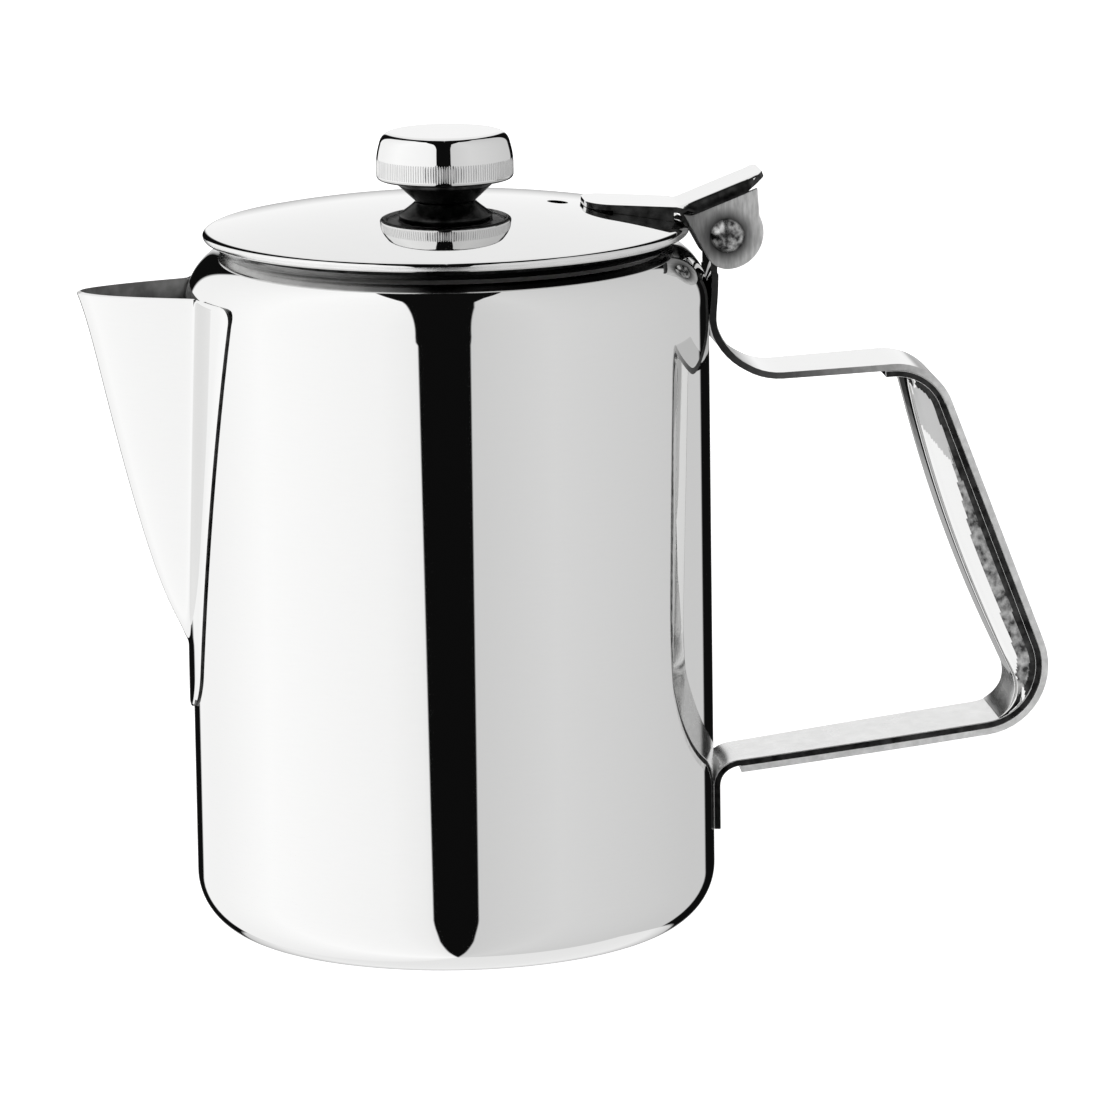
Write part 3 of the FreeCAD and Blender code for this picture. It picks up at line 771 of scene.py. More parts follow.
class COFFEEPOT_OT_spout(bpy.types.Operator):
    """Fold the spout and its flange from one sheet"""
    bl_idname = "coffeepot.spout"
    bl_label = "Spout"

    def execute(self, context):
        body = settings("pot_body")
        spout = settings("pot_spout")
        seat = body.radius + WELD_GAP + spout.sheet
        nose_columns = 26
        flange_columns = 16
        rows = 150
        side = nose_columns + flange_columns
        low = spout.flange_tip
        row_crowding = 1.15
        column_crowding = 1.5
        nose_share = 0.8
        no_nose = -10 * spout.fold
        least_nose = 1.2 * MM
        least_flange = 0.05 * MM
        least_fold = 0.2 * MM
        dressed = 1.2 * MM
        lip_lift = spout.rim - spout.flange_top - spout.tip_drop * 0.9

        def nose_out(y, z):
            """How far the folded spout stands out, before it blends into the flange."""
            half = spout_half_width(z)
            root = math.sqrt(body.radius ** 2 - half ** 2)
            tip = body.radius + spout_out(z)
            return tip - (tip - root) * (y / half) ** 2

        def place(column, row):
            steps = abs(column - side)
            sign = -1 if column < side else 1
            z = low + (spout.flange_top - low) * (1 - (1 - row / rows) ** row_crowding)
            inner = min(max(spout_half_width(z), least_nose), flange_half(z) * nose_share)
            outer = max(flange_half(z), least_flange)
            if steps <= nose_columns:
                y = inner * math.sin(math.pi / 2 * steps / nose_columns)
            else:
                y = inner + (outer - inner) * ((steps - nose_columns) / flange_columns) ** column_crowding
            flange = math.sqrt(seat ** 2 - y ** 2)
            gap = nose_out(y, z) - flange if spout_share(z) > 0 else no_nose
            soft = min(spout.fold, least_fold + spout_out(z))
            out = flange + (gap + math.sqrt(gap ** 2 + soft ** 2)) / 2
            if row == rows and y < inner:
                z += lip_lift * (1 - (y / inner) ** 4)
            rim_gap = outer - y if y < inner else min(outer - y, spout.flange_top - z)
            out -= spout.feather * (1 - min(rim_gap / dressed, 1.0)) ** 2
            return Vector((-out, sign * y, z))

        piece = lay_sheet("pot_spout", 2 * side, rows, place)
        apply_modifier(piece, "SOLIDIFY", thickness=-spout.sheet, offset=-1, material_offset=1,
                       material_offset_rim=0)
        smooth(piece, 40)
        middle = Vector((-45 * MM, 0, 0))
        seam = 0.2 * MM

        def inside(face):
            away = face.center - middle
            return face.normal.x * away.x + face.normal.y * away.y < 0

        def flange_edge(face):
            outward = Vector((face.center.x, face.center.y, 0)).normalized()
            beyond = abs(face.center.y) > spout_half_width(face.center.z) - seam
            return beyond and abs(face.normal.dot(outward)) < 0.75

        finish_faces(piece, 0, lambda face: not inside(face))
        finish_faces(piece, 1, inside)
        # The flange's sideways edges get near-black steel as painted shade.
        finish_faces(piece, 2, flange_edge)
        hand_over(piece, "spout", "pot", [mirror_steel(), raw_steel(), painted_shade_steel()])
        return {"FINISHED"}


def handle_line():
    """Corners and bends of the outer strap's outside line, as (x, z) points."""
    body = settings("pot_body")
    handle = settings("pot_handle")
    out_x = body.radius + WELD_GAP + handle.strap
    root = Vector((out_x, handle.root_height))
    arm_rise = (handle.reach - handle.strap) * math.tan(handle.rise)
    upper = Vector((body.radius + handle.reach, handle.root_height + arm_rise))
    lower = upper + Vector((math.sin(handle.lean), -math.cos(handle.lean))) * handle.grip
    back = Vector((-1, -math.tan(handle.fall)))
    end = lower + back * (lower.x - body.radius - handle.end_gap)
    corners = [Vector((out_x, HINGE[2])), root, upper, lower, end]
    return corners, [handle.root_radius, handle.upper_bend, handle.lower_bend]


STRAP_WIDENING = 1.6


def strap_half(x):
    """Half width of a strap at a distance from the pot's axis."""
    body = settings("pot_body")
    handle = settings("pot_handle")
    part = clamp((x - body.radius - handle.strap) / handle.taper)
    widening = (handle.grip_width - handle.tab_width) * (1 - (1 - part) ** STRAP_WIDENING)
    return (handle.tab_width + widening) / 2


ACROSS = [-1, -0.93, -0.8, -0.5, 0, 0.5, 0.8, 0.93, 1]


def lay_strap(name, line, halves, thickness, top):
    """Strap laid along a line of (x, z) points, with its half width at each; below top it hugs the body."""
    radius = settings("pot_body").radius
    hug_from = radius + 7 * MM
    hug_depth = 5 * MM
    hug_height = 8 * MM

    def place(column, row):
        x, z = line[row]
        y = halves[row] * ACROSS[column]
        close = clamp((hug_from - x) / hug_depth) * clamp((top - z) / hug_height)
        return Vector((x - close * (radius - math.sqrt(radius ** 2 - y ** 2)), y, z))

    piece = lay_sheet(name, len(ACROSS) - 1, len(line) - 1, place)
    apply_modifier(piece, "SOLIDIFY", thickness=thickness, offset=-1)
    return piece


class COFFEEPOT_OT_outer_strap(bpy.types.Operator):
    """Bend the outer strap of the handle, with its rolled knuckle"""
    bl_idname = "coffeepot.outer_strap"
    bl_label = "Outer strap"

    def execute(self, context):
        handle = settings("pot_handle")
        hinge = settings("pot_hinge")
        corners, bends = handle_line()
        face_x = corners[0].x
        bore = Vector((PIN.x - face_x, 0))
        roll = [PIN + turned(bore, math.radians(a)) for a in range(-150, 180, 10)]
        knuckle = hinge.width / 2 - hinge.sheet - hinge.play
        notch = PIN.y - hinge.ear_radius - 0.3 * MM
        step = 0.01 * MM
        below = rounded(corners, bends, 14)
        shoulders = [Vector((face_x, notch)), Vector((face_x, notch - step))]
        line = supported(roll + [below[0]] + shoulders + below[1:])
        grip_from = 60 * MM
        halves = [knuckle if point.y > notch - step / 2 and point.x < grip_from else strap_half(point.x)
                  for point in line]
        hug_top = 124 * MM
        piece = lay_strap("pot_handle_outer", line, halves, -handle.strap, hug_top)
        soften(piece, handle.edge)
        finish_faces(piece, 1, lambda face: abs(face.normal.y) > 0.8)
        hand_over(piece, "handle_outer_strap", "pot", [mirror_steel(), cut_edge_shade_steel()])
        return {"FINISHED"}


def crown_crest(arm_start):
    """Crest of the crown as (x, z) corners, from the lower arm to under the upper arm."""
    handle = settings("pot_handle")
    upper = handle_line()[0][2]
    low = Vector((-math.sin(handle.crown_lean), math.cos(handle.crown_lean))) * handle.crown_low
    run = -math.tan(handle.crown_lean - handle.crown_turn)
    top = upper - Vector((math.cos(handle.rise), math.sin(handle.rise))) * handle.crown_end
    slope = math.tan(handle.fall)
    level = arm_start.y - slope * arm_start.x
    foot_x = (top.x - low.x - run * (top.y - level - low.y)) / (1 - run * slope)
    foot = Vector((foot_x, level + slope * foot_x))
    return [arm_start, foot, foot + low, top], [handle.crown_foot, handle.crown_bend]


def nearest(point, line):
    """Nearest point of a line of points, and whether the point lies to its left."""
    best = None
    left = False
    for start, end in zip(line, line[1:]):
        run = end - start
        part = clamp((point - start).dot(run) / max(run.length_squared, 1e-18))
        spot = start + run * part
        if best is None or (spot - point).length < (best - point).length:
            best = spot
            left = run.x * (point - spot).y - run.y * (point - spot).x > 0
    return best, left


CROWN_DRAFT = 2.1 * MM


class COFFEEPOT_OT_inner_strap(bpy.types.Operator):
    """Bend the inner strap and press its crown for the hand"""
    bl_idname = "coffeepot.inner_strap"
    bl_label = "Inner strap"

    def execute(self, context):
        handle = settings("pot_handle")
        line, arm_end = self.strap_line(handle)
        halves = [strap_half(point.x) for point in line]
        hug_top = 90 * MM
        strap = lay_strap("pot_handle_inner", line, halves, handle.strap, hug_top)
        soften(strap, handle.edge)
        seat_face = beside(line, handle.strap)
        crown, half = self.press_crown(handle, arm_end, seat_face)
        arm_top = 60 * MM
        crease_shade_height = 1.1 * MM
        wide_mark = 2.2 * MM
        mark_top = 93 * MM
        mark_run = 20 * MM
        satin_top = 97 * MM
        satin_run = 12 * MM

        def lift(spot):
            """How far a spot stands above the strap's face."""
            flat = Vector((spot.x, spot.z))
            return (nearest(flat, seat_face)[0] - flat).length

        def side(face):
            return abs(face.normal.y) > 0.85

        def at_foot(face):
            return face.normal.z > -0.25 and abs(face.normal.y) < 0.5 and face.center.z < arm_top

        def satin(face):
            outer = clamp((abs(face.center.y) - half) / CROWN_DRAFT + 1)
            return side(face) and face.center.z > satin_top - satin_run * outer

        def marked(face):
            widening = clamp((mark_top - face.center.z) / mark_run)
            return side(face) and lift(face.center) < crease_shade_height + wide_mark * widening

        finish_faces(strap, 2, lambda face: face.normal.z > 0.1)
        # The strap's cut edges get near-black steel as painted shade.
        finish_faces(strap, 3, lambda face: abs(face.normal.y) > 0.8)
        finish_faces(strap, 4, lambda face: 0.1 < face.normal.z < 0.6)
        finish_faces(crown, 2, at_foot)
        finish_faces(crown, 4, satin)
        finish_faces(crown, 1, marked)
        # Painted shade in the crease at the crown's foot: near-black steel on the wall next to the strap.
        finish_faces(crown, 3, lambda face: side(face) and lift(face.center) < crease_shade_height)
        materials = [mirror_steel(), pressed_steel(), rim_steel(), painted_shade_steel(), satin_steel()]
        piece = join([strap, crown], materials)
        hand_over(piece, "handle_inner_strap", "pot", materials, fit=1.4 * MM)
        return {"FINISHED"}

    def strap_line(self, handle):
        """Line of the strap from its tab to its tail, and the point where its lower arm ends."""
        corners, bends = handle_line()
        depth = handle.strap + WELD_GAP
        seat = beside(rounded(corners[1:], bends[1:], 14), -depth)[::-1]
        tab_x = corners[0].x
        arm_end = seat[0]
        root = Vector((tab_x, arm_end.y - (arm_end.x - tab_x) * math.tan(handle.fall)))
        tab = rounded([Vector((tab_x, root.y - handle.tab_length)), root, arm_end], [handle.tab_bend], 8)
        tail_drop = handle.tail * math.tan(handle.rise) + depth / math.cos(handle.rise)
        tail = corners[2] - Vector((handle.tail, tail_drop))
        arm_level = 90 * MM
        run = [point for point in seat[1:] if point.y <= arm_level or point.x >= tail.x]
        return supported(tab[:-1] + [arm_end] + run + [tail]), arm_end

    def press_crown(self, handle, arm_end, seat_face):
        """Hollow crown on the strap's face, and half its width at the foot."""
        outward = Vector((-math.sin(handle.fall), math.cos(handle.fall)))
        corners, bends = crown_crest(arm_end + outward * handle.strap)
        least_height = 0.12 * MM
        crown_from = 70 * MM
        stations = []
        for point in supported(rounded(corners, bends, 24), 0.3 * MM, 0.6 * MM):
            base, left = nearest(point, seat_face)
            if left and (point - base).length > least_height and point.x > crown_from:
                stations.append((base, point))
            elif len(stations) > 20:
                break
        wall = 16
        fillet = 8
        columns = 2 * (wall + fillet) + 4
        half = handle.crown_width / 2 + 0.8 * MM
        sunk = 0.3 * MM
        tilt = math.radians(24)
        arc_rise = 0.593

        def place(column, row):
            base, point = stations[row]
            height = (point - base).length
            up = (point - base).normalized()
            bend = min(handle.crown_edge, 0.9 * height)
            draft = min(CROWN_DRAFT, 0.3 * height)
            mirrored = column > columns / 2
            step = columns - column if mirrored else column
            if step < wall:
                y = half - draft * (step / wall) ** 1.25
                lift = (height - bend + sunk) * step / wall
            elif step <= wall + fillet:
                turn = tilt + (math.pi / 2 - tilt) * (step - wall) / fillet
                y = half - draft - bend * (math.cos(tilt) - math.cos(turn))
                lift = height - bend + sunk + bend * (math.sin(turn) - math.sin(tilt)) / arc_rise
            else:
                y = (half - draft - bend * math.cos(tilt)) * (1 - (step - wall - fillet) / 2)
                lift = height + sunk
            spot = base + up * (lift - sunk)
            return Vector((spot.x, y if mirrored else -y, spot.y))

        crown = lay_sheet("pot_crown", columns, len(stations) - 1, place)
        apply_modifier(crown, "SOLIDIFY", thickness=-handle.crown_sheet, offset=-1)
        smooth(crown, 50)
        return crown, half


class COFFEEPOT_OT_lid(bpy.types.Operator):
    """Turn the domed lid with its rolled rim and drill the vent"""
    bl_idname = "coffeepot.lid"
    bl_label = "Lid"

    def execute(self, context):
        lid = settings("pot_lid")
        edge = lid.radius - lid.rim / 2
        inner = lid.radius - lid.lip
        under = edge - lid.rim / 2
        hem = lid.top - lid.rise - lid.rim
        middle = hem + lid.rim / 2
        wide = lid.roll
        tall = lid.rim / 2
        dome_steps = 30
        roll_steps = 16
        hem_steps = 10
        under_steps = 20
        # The roll's height and the place where it meets the dome settle together.
        for i in range(8):
            start = math.atan(lid_slope(lid.radius - wide) * wide / tall)
            meet = lid.radius - wide * (1 - math.sin(start))
            tall = (lid_height(meet) - middle) / math.cos(start)
        radii = [meet * i / dome_steps for i in range(dome_steps + 1)]
        line = [Vector((radius, lid_height(radius))) for radius in radii]
        for i in range(1, roll_steps + 1):
            turn = start + (math.pi / 2 - start) * i / roll_steps
            line.append(Vector((lid.radius - wide * (1 - math.sin(turn)), middle + tall * math.cos(turn))))
        for i in range(1, hem_steps + 1):
            spoke = turned(Vector((lid.rim / 2, 0)), -math.pi / 2 * i / hem_steps)
            line.append(Vector((edge, middle)) + spoke)
        lip_top = hem + lid.collar_sheet
        lip = [(edge, hem), (inner, hem), (inner, lip_top), (under, lip_top)]
        line += supported([Vector(point) for point in lip], 0.2 * MM)[1:]
        radii = [under * i / under_steps for i in range(under_steps, -1, -1)]
        line += [Vector((radius, lid_height(radius, lid.sheet))) for radius in radii]
        piece = turn_on_lathe("pot_lid", line, 224)
        drill(piece, [((lid.vent_place, 0, lid.top), (0, 0, 1), lid.vent / 2)])
        smooth(piece)
        finish_faces(piece, 1, lambda face: -0.7 < face.normal.z < 0.25 and from_axis(face.center) > edge)
        finish_faces(piece, 2, lambda face: face.normal.z < -0.6 and from_axis(face.center) < inner)
        # The hem's underside gets the neck's steel with its painted shade.
        finish_faces(piece, 3, lambda face: face.normal.z < -0.85 and from_axis(face.center) >= inner)
        hand_over(piece, "lid_shell", "lid",
                  [mirror_steel(), rim_steel(), satin_steel(), neck_painted_shade_steel()])
        return {"FINISHED"}


class COFFEEPOT_OT_lid_collar(bpy.types.Operator):
    """Turn the collar that drops into the neck"""
    bl_idname = "coffeepot.lid_collar"
    bl_label = "Lid collar"

    def execute(self, context):
        lid = settings("pot_lid")
        low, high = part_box("lid_collar")
        flange = high.z - lid.collar_sheet
        corners = [(lid.collar_radius, low.z), (lid.collar_radius, flange), (high.y, flange)]
        line = supported(rounded(corners, [lid.collar_sheet], 8), 0.3 * MM)
        piece = turn_on_lathe("pot_lid_collar", line)
        apply_modifier(piece, "SOLIDIFY", thickness=lid.collar_sheet, offset=-1)
        soften(piece, 0.12 * MM)
        hand_over(piece, "lid_collar", "lid", [satin_steel()])
        return {"FINISHED"}


class COFFEEPOT_OT_hinge_leaf(bpy.types.Operator):
    """Fold the hinge leaf with its thumb lift and two ears"""
    bl_idname = "coffeepot.hinge_leaf"
    bl_label = "Hinge leaf"

    def execute(self, context):
        hinge = settings("pot_hinge")
        front_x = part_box("hinge_leaf")[0].x
        front = Vector((front_x, lid_height(front_x) + WELD_GAP + hinge.sheet))
        fold_x = PIN.x - hinge.fold_place
        fold = Vector((fold_x, front.y - (fold_x - front.x) * math.tan(hinge.fall)))
        thumb = Vector((math.cos(hinge.thumb_rise), math.sin(hinge.thumb_rise)))
        tip = fold + thumb * hinge.thumb_length
        leaf = self.fold_leaf(hinge, front, fold, tip)
        ears = self.cut_ears(hinge, fold, thumb, tip)
        shade_lips = self.cut_shade_lips(hinge, front, fold)
        # The side sheets are near-black all over: painted shade.
        for lip in shade_lips:
            finish_faces(lip, 2, lambda face: True)
        # The ears' edges facing the lid, and the leaf's underside and sides, get near-black steel as painted
        # shade.
        for ear in ears:
            finish_faces(ear, 2, lambda face: face.normal.x < -0.3)
            finish_faces(ear, 1, lambda face: abs(face.normal.y) > 0.5)
        finish_faces(leaf, 2, lambda face: face.normal.z < -0.4 or abs(face.normal.y) > 0.35)
        materials = [mirror_steel(), brushed_ear_shade_steel(), painted_shade_steel()]
        piece = join([leaf] + ears + shade_lips, materials)
        hand_over(piece, "hinge_leaf", "lid", materials)
        return {"FINISHED"}

    def fold_leaf(self, hinge, front, fold, tip):
        """Leaf with rounded ends, whose sides bend down beside the thumb lift."""
        line = rounded([front, fold, tip], [hinge.fold_radius], 10)
        line = supported(line, 0.3 * MM, 0.5 * MM)
        half = hinge.width / 2
        flat = 10
        curve = 8
        ends = ((front.x, 5.0 * MM, 1), (tip.x, 4.0 * MM, -1))
        least_corner = 0.05 * MM
        least_edge = 0.02 * MM
        least_turn = 0.02
        bend_run = 3.5 * MM
        bend_start = 1.0 * MM
        bend_end = 0.8 * MM

        def end_half(x):
            """Half width with the two ends rounded."""
            for end, radius, sign in ends:
                inside = radius - sign * (x - end)
                if inside > 0:
                    return half - radius + math.sqrt(max(radius ** 2 - inside ** 2, least_corner ** 2))
            return half

        def place(column, row):
            point = line[row]
            up = left_of(line[min(row + 1, len(line) - 1)] - line[max(row - 1, 0)])
            folded = clamp((point.x - fold.x + bend_start) / bend_run)
            folded *= clamp((tip.x - point.x - bend_end) / bend_run)
            turn = folded * folded * (3 - 2 * folded) * math.pi / 2
            wide = end_half(point.x)
            edge = max(wide - hinge.ear_bend, least_edge)
            step = abs(column - flat - curve)
            sign = -1 if column < flat + curve else 1
            if step <= flat:
                return Vector((point.x, sign * edge * step / flat, point.y))
            part = (step - flat) / curve
            rest = wide - edge
            if turn < least_turn:
                return Vector((point.x, sign * (edge + rest * part), point.y))
            y = edge + rest * math.sin(turn * part) / math.sin(turn)
            spot = point - up * (rest * (1 - math.cos(turn * part)) / math.sin(turn))
            return Vector((spot.x, sign * y, spot.y))

        leaf = lay_sheet("pot_hinge_leaf", 2 * (flat + curve), len(line) - 1, place)
        apply_modifier(leaf, "SOLIDIFY", thickness=-hinge.sheet, offset=-1, use_even_offset=True)
        soften(leaf, 0.14 * MM)
        return leaf

    def cut_ears(self, hinge, fold, thumb, tip):
        """Two ears that hang from the thumb lift and close round the pin."""
        half = hinge.width / 2
        radius = hinge.ear_radius
        raised = 0.5 * MM
        edge_place = 6.05 * MM
        corner_radius = 4.6 * MM
        tip_inset = 2.2 * MM
        fold_inset = 1.2 * MM
        slant = Vector((-math.tan(hinge.ear_slant), 1.0))
        edge_at = PIN - Vector((edge_place, 0))
        middle = PIN + Vector((0, raised))
        top = edge_at + slant * (fold.y - hinge.ear_bend * 0.6 - edge_at.y)
        corner = edge_at + slant * (raised - radius * 0.98)
        outline = rounded([top, corner, middle - Vector((0, radius))], [corner_radius], 12)[:-1]
        outline += [middle + turned(Vector((radius, 0)), math.radians(a)) for a in range(272, 392, 5)]
        under = left_of(thumb) * (hinge.ear_bend - 0.1 * MM)
        outline += [tip - thumb * tip_inset - under, fold + thumb * fold_inset - under]
        ears = []
        for name, y_from in (("near", -half), ("far", half - hinge.sheet)):
            ear = cut_plate("pot_ear_" + name, outline, y_from, y_from + hinge.sheet)
            soften(ear, 0.2 * MM)
            ears.append(ear)
        return ears

    def cut_shade_lips(self, hinge, front, fold):
        """Two near-black side sheets that close the gap between the leaf and the lid, as painted shade for
        the gap.
        """
        half = hinge.width / 2
        sheet = 0.5 * MM
        inset = 0.05 * MM
        count = 12
        lip_from = front.x + 5.0 * MM
        lip_to = fold.x - 1.5 * MM
        stations = [lip_from + (lip_to - lip_from) * i / count for i in range(count + 1)]
        top = front.y - 0.5 * hinge.sheet
        outline = [Vector((x, top - (x - front.x) * math.tan(hinge.fall))) for x in stations]
        outline += [Vector((x, lid_height(math.hypot(x, half)) + inset)) for x in reversed(stations)]
        return [cut_plate("pot_shade_lip", outline, y_from, y_from + sheet)
                for y_from in (inset - half, half - inset - sheet)]


class COFFEEPOT_OT_hinge_pin(bpy.types.Operator):
    """Turn the rivet with its two domed heads"""
    bl_idname = "coffeepot.hinge_pin"
    bl_label = "Hinge pin"

    def execute(self, context):
        hinge = settings("pot_hinge")
        seat = hinge.width / 2 + WELD_GAP
        sphere = (hinge.head_radius ** 2 + hinge.head_height ** 2) / (2 * hinge.head_height)
        centre = seat + hinge.head_height - sphere
        reach = math.asin(hinge.head_radius / sphere)
        turns = [reach * i / 14 for i in range(15)]
        dome = [Vector((sphere * math.sin(turn), centre + sphere * math.cos(turn))) for turn in turns]
        line = dome + [Vector((hinge.pin_radius, seat)), Vector((hinge.pin_radius, -seat))]
        line += [Vector((point.x, -point.y)) for point in dome[::-1]]
        piece = turn_on_lathe("pot_hinge_pin", line, 96, (0, 1, 0), HINGE)
        smooth(piece)
        hand_over(piece, "hinge_pin", "lid", [rivet_steel()])
        return {"FINISHED"}


class COFFEEPOT_OT_knob(bpy.types.Operator):
    """Turn the knob's cap and cone and knurl the band"""
    bl_idname = "coffeepot.knob"
    bl_label = "Knob"

    def execute(self, context):
        knob = settings("pot_knob")
        low = KNOB_LOW.z
        top = KNOB_TOP.z
        corners = [(knob.radius - 1.0 * MM, low), (knob.radius, low), (knob.radius, low + knob.band),
                   (knob.top_radius, top), (0, top)]
        line = rounded(corners, [0.9 * MM, knob.radius, knob.edge], 14)
        steps = 4 * knob.ridges
        piece = turn_on_lathe("pot_knob", supported(line, 0.3 * MM, 1.2 * MM), steps)
        groove_low = low + 0.7 * MM
        groove_length = knob.band - 1.1 * MM
        groove_shape = (0.0, 0.5, 1.0, 0.5)
        shallowest = 0.35
        scatter_turn = 12.9898
        scatter = 43.758

        def band_part(spot):
            """How far up the knurling a spot is, from 0 to 1."""
            return (spot.z - groove_low) / groove_length

        def ridge_turn(spot):
            """Steps of the lathe from the first ridge to a spot."""
            return math.atan2(spot.y, spot.x) / (2 * math.pi) * steps

        for vertex in piece.data.vertices:
            part = band_part(vertex.co)
            if not 0 < part < 1:
                continue
            column = round(ridge_turn(vertex.co)) % steps
            uneven = shallowest + (1 - shallowest) * (math.sin(column // 4 * scatter_turn) * scatter % 1)
            ends = min(1.0, 5 * part, 5 * (1 - part))
            inward = 1 - knob.ridge_depth * groove_shape[column % 4] * uneven * ends / knob.radius
            vertex.co.x *= inward
            vertex.co.y *= inward
        apply_modifier(piece, "SOLIDIFY", thickness=knob.sheet, offset=-1)
        smooth(piece, 60)

        def in_groove(face):
            outside = from_axis(face.center) > knob.radius - 0.5 * knob.sheet
            return outside and 0.06 < band_part(face.center) < 0.94 and 1 < ridge_turn(face.center) % 4 < 3

        finish_faces(piece, 1, in_groove)
        # The cap's underside gets near-black steel as painted shade.
        finish_faces(piece, 2, lambda face: face.normal.z < -0.5)
        hand_over(piece, "knob_cap", "lid", [mirror_steel(), satin_steel(), painted_shade_steel()])
        base_low, base_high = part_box("knob_base")
        cone_top = low - 0.9 * MM
        lap = low + 1.2 * MM
        edge = 0.3 * MM
        corners = [(0, base_low.z), (knob.foot_radius, base_low.z), (knob.cone_radius, cone_top),
                   (knob.cone_radius, lap), (base_high.y, lap), (base_high.y, base_high.z), (0, base_high.z)]
        line = rounded(corners, [edge, 0.8 * MM, edge, edge, edge], 6)
        cone = turn_on_lathe("pot_knob_cone", supported(line, edge, 2 * MM), 128)
        smooth(cone)
        # The cone is near-black steel all over, as painted shade.
        hand_over(cone, "knob_base", "lid", [painted_shade_steel()])
        return {"FINISHED"}


class COFFEEPOT_OT_knob_fixing(bpy.types.Operator):
    """Turn the screw and the washer that hold the knob from inside the lid"""
    bl_idname = "coffeepot.knob_fixing"
    bl_label = "Knob fixing"

    def execute(self, context):
        low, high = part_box("knob_screw")
        head = high.y
        shank = 2.0 * MM
        head_top = low.z + 2.4 * MM
        corners = [(0, low.z), (head, low.z), (head, head_top), (shank, head_top), (shank, high.z),
                   (0, high.z)]
        line = rounded(corners, [0.9 * MM, 0.2 * MM, 0.1 * MM, 0.3 * MM], 6)
        screw = turn_on_lathe("pot_knob_screw", line, 96)
        slot = add("cube", "pot_screw_slot", size=1, location=(0, 0, low.z))
        slot.scale = (4 * head, 1.0 * MM, 2.4 * MM)
        cut_out(screw, slot)
        smooth(screw)
        hand_over(screw, "knob_screw", "lid", [satin_steel()])
        low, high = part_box("knob_washer")
        bore = shank + 0.1 * MM
        corners = [(bore, low.z), (high.y, low.z), (high.y, high.z), (bore, high.z), (bore, low.z)]
        washer = turn_on_lathe("pot_knob_washer", rounded(corners, [0.25 * MM] * 3, 5), 96)
        smooth(washer)
        hand_over(washer, "knob_washer", "lid", [satin_steel()])
        return {"FINISHED"}


# The light tent by elevation in degrees. Widths and wall edges are degrees round from the back, and slot
# edges are the sideways part of the direction.
BACKDROP_WIDTH = [(-90, 90), (-50, 60), (-24, 8), (0, 8), (30, 16), (50, 22), (62, 18), (70, -3)]
BACKDROP_TONE = [(-90, 0.8), (-40, 0.8), (-20, 0.34), (-6, 0.34), (4, 0.81)]
LEFT_WALL_BACK = [(-90, 25), (0, 26), (30, 33), (60, 48), (75, 80)]
RIGHT_WALL_BACK = [(-90, 33), (0, 33), (30, 34), (60, 40), (75, 80)]
SLOT_LEFT = [(-90, 0.0), (-75, 0.045), (-50, 0.11), (-14, 0.175), (-8, 0.236), (0, 0.24), (62, 0.232),
             (67, 0.236), (73, 0.29), (80, 0.34)]
SLOT_RIGHT = [(-90, 0.0), (-75, 0.04), (-50, 0.1), (-14, 0.158), (-8, 0.174), (0, 0.178), (55, 0.165),
              (66, 0.15), (73, 0.185), (80, 0.26)]
# Tone of the walls round the tent, from the back by the left, the front and the right to the back again.
WALL_TONE = [(0.06, 0.84), (0.25, 1.0), (0.42, 0.93), (0.46, 0.88), (0.53, 0.62), (0.63, 0.68), (0.78, 0.62),
             (0.92, 0.55)]
TENT_GLOW = 0.004


def light_tent(tree, turn):
    """White on the left, grey on the right, an open slot in front and overhead, a bright sheet behind."""
    wall_edge = 0.012
    slot_edge = 0.01

    def maths(*values):
        return math_node(tree, *values)

    coords = tree.nodes.new("ShaderNodeTexCoord")
    place = tree.nodes.new("ShaderNodeMapping")
    place.vector_type = "POINT"
    place.inputs["Rotation"].default_value = (0, 0, turn)
    link(tree, coords.outputs["Generated"], place.inputs["Vector"])
    split = tree.nodes.new("ShaderNodeSeparateXYZ")
    link(tree, place.outputs[0], split.inputs[0])
    x, y, z = split.outputs
    height = maths("ADD", maths("DIVIDE", maths("ARCSINE", z), math.pi), 0.5)
    round_turn = maths("ARCTAN2", x, maths("MULTIPLY", y, -1.0))
    from_back = maths("SUBTRACT", 1.0, maths("DIVIDE", maths("ABSOLUTE", round_turn), math.pi))

    def by_elevation(pairs, whole=1.0):
        """Value at each elevation, as a share of the whole."""
        stops = [((elevation + 90) / 180, value / whole) for elevation, value in pairs]
        return ramp_node(tree, height, stops)

    def edge(inside, outside, soft):
        """1 where inside is the larger, with a soft edge."""
        return maths("ADD", maths("DIVIDE", maths("SUBTRACT", inside, outside), soft), 0.5, True)

    backdrop = edge(by_elevation(BACKDROP_WIDTH, 180), from_back, wall_edge)
    left = edge(from_back, by_elevation(LEFT_WALL_BACK, 180), wall_edge)
    right = edge(from_back, by_elevation(RIGHT_WALL_BACK, 180), wall_edge)
    left_slot = edge(maths("MULTIPLY", x, -1.0), by_elevation(SLOT_LEFT), slot_edge)
    right_slot = edge(x, by_elevation(SLOT_RIGHT), slot_edge)
    tone = ramp_node(tree, maths("ADD", maths("DIVIDE", round_turn, 2 * math.pi), 0.5), WALL_TONE)
    walls = maths("MAXIMUM", maths("MULTIPLY", left, left_slot), maths("MULTIPLY", right, right_slot))
    sheet = maths("MULTIPLY", backdrop, by_elevation(BACKDROP_TONE))
    return maths("ADD", maths("MAXIMUM", maths("MULTIPLY", walls, tone), sheet), TENT_GLOW)


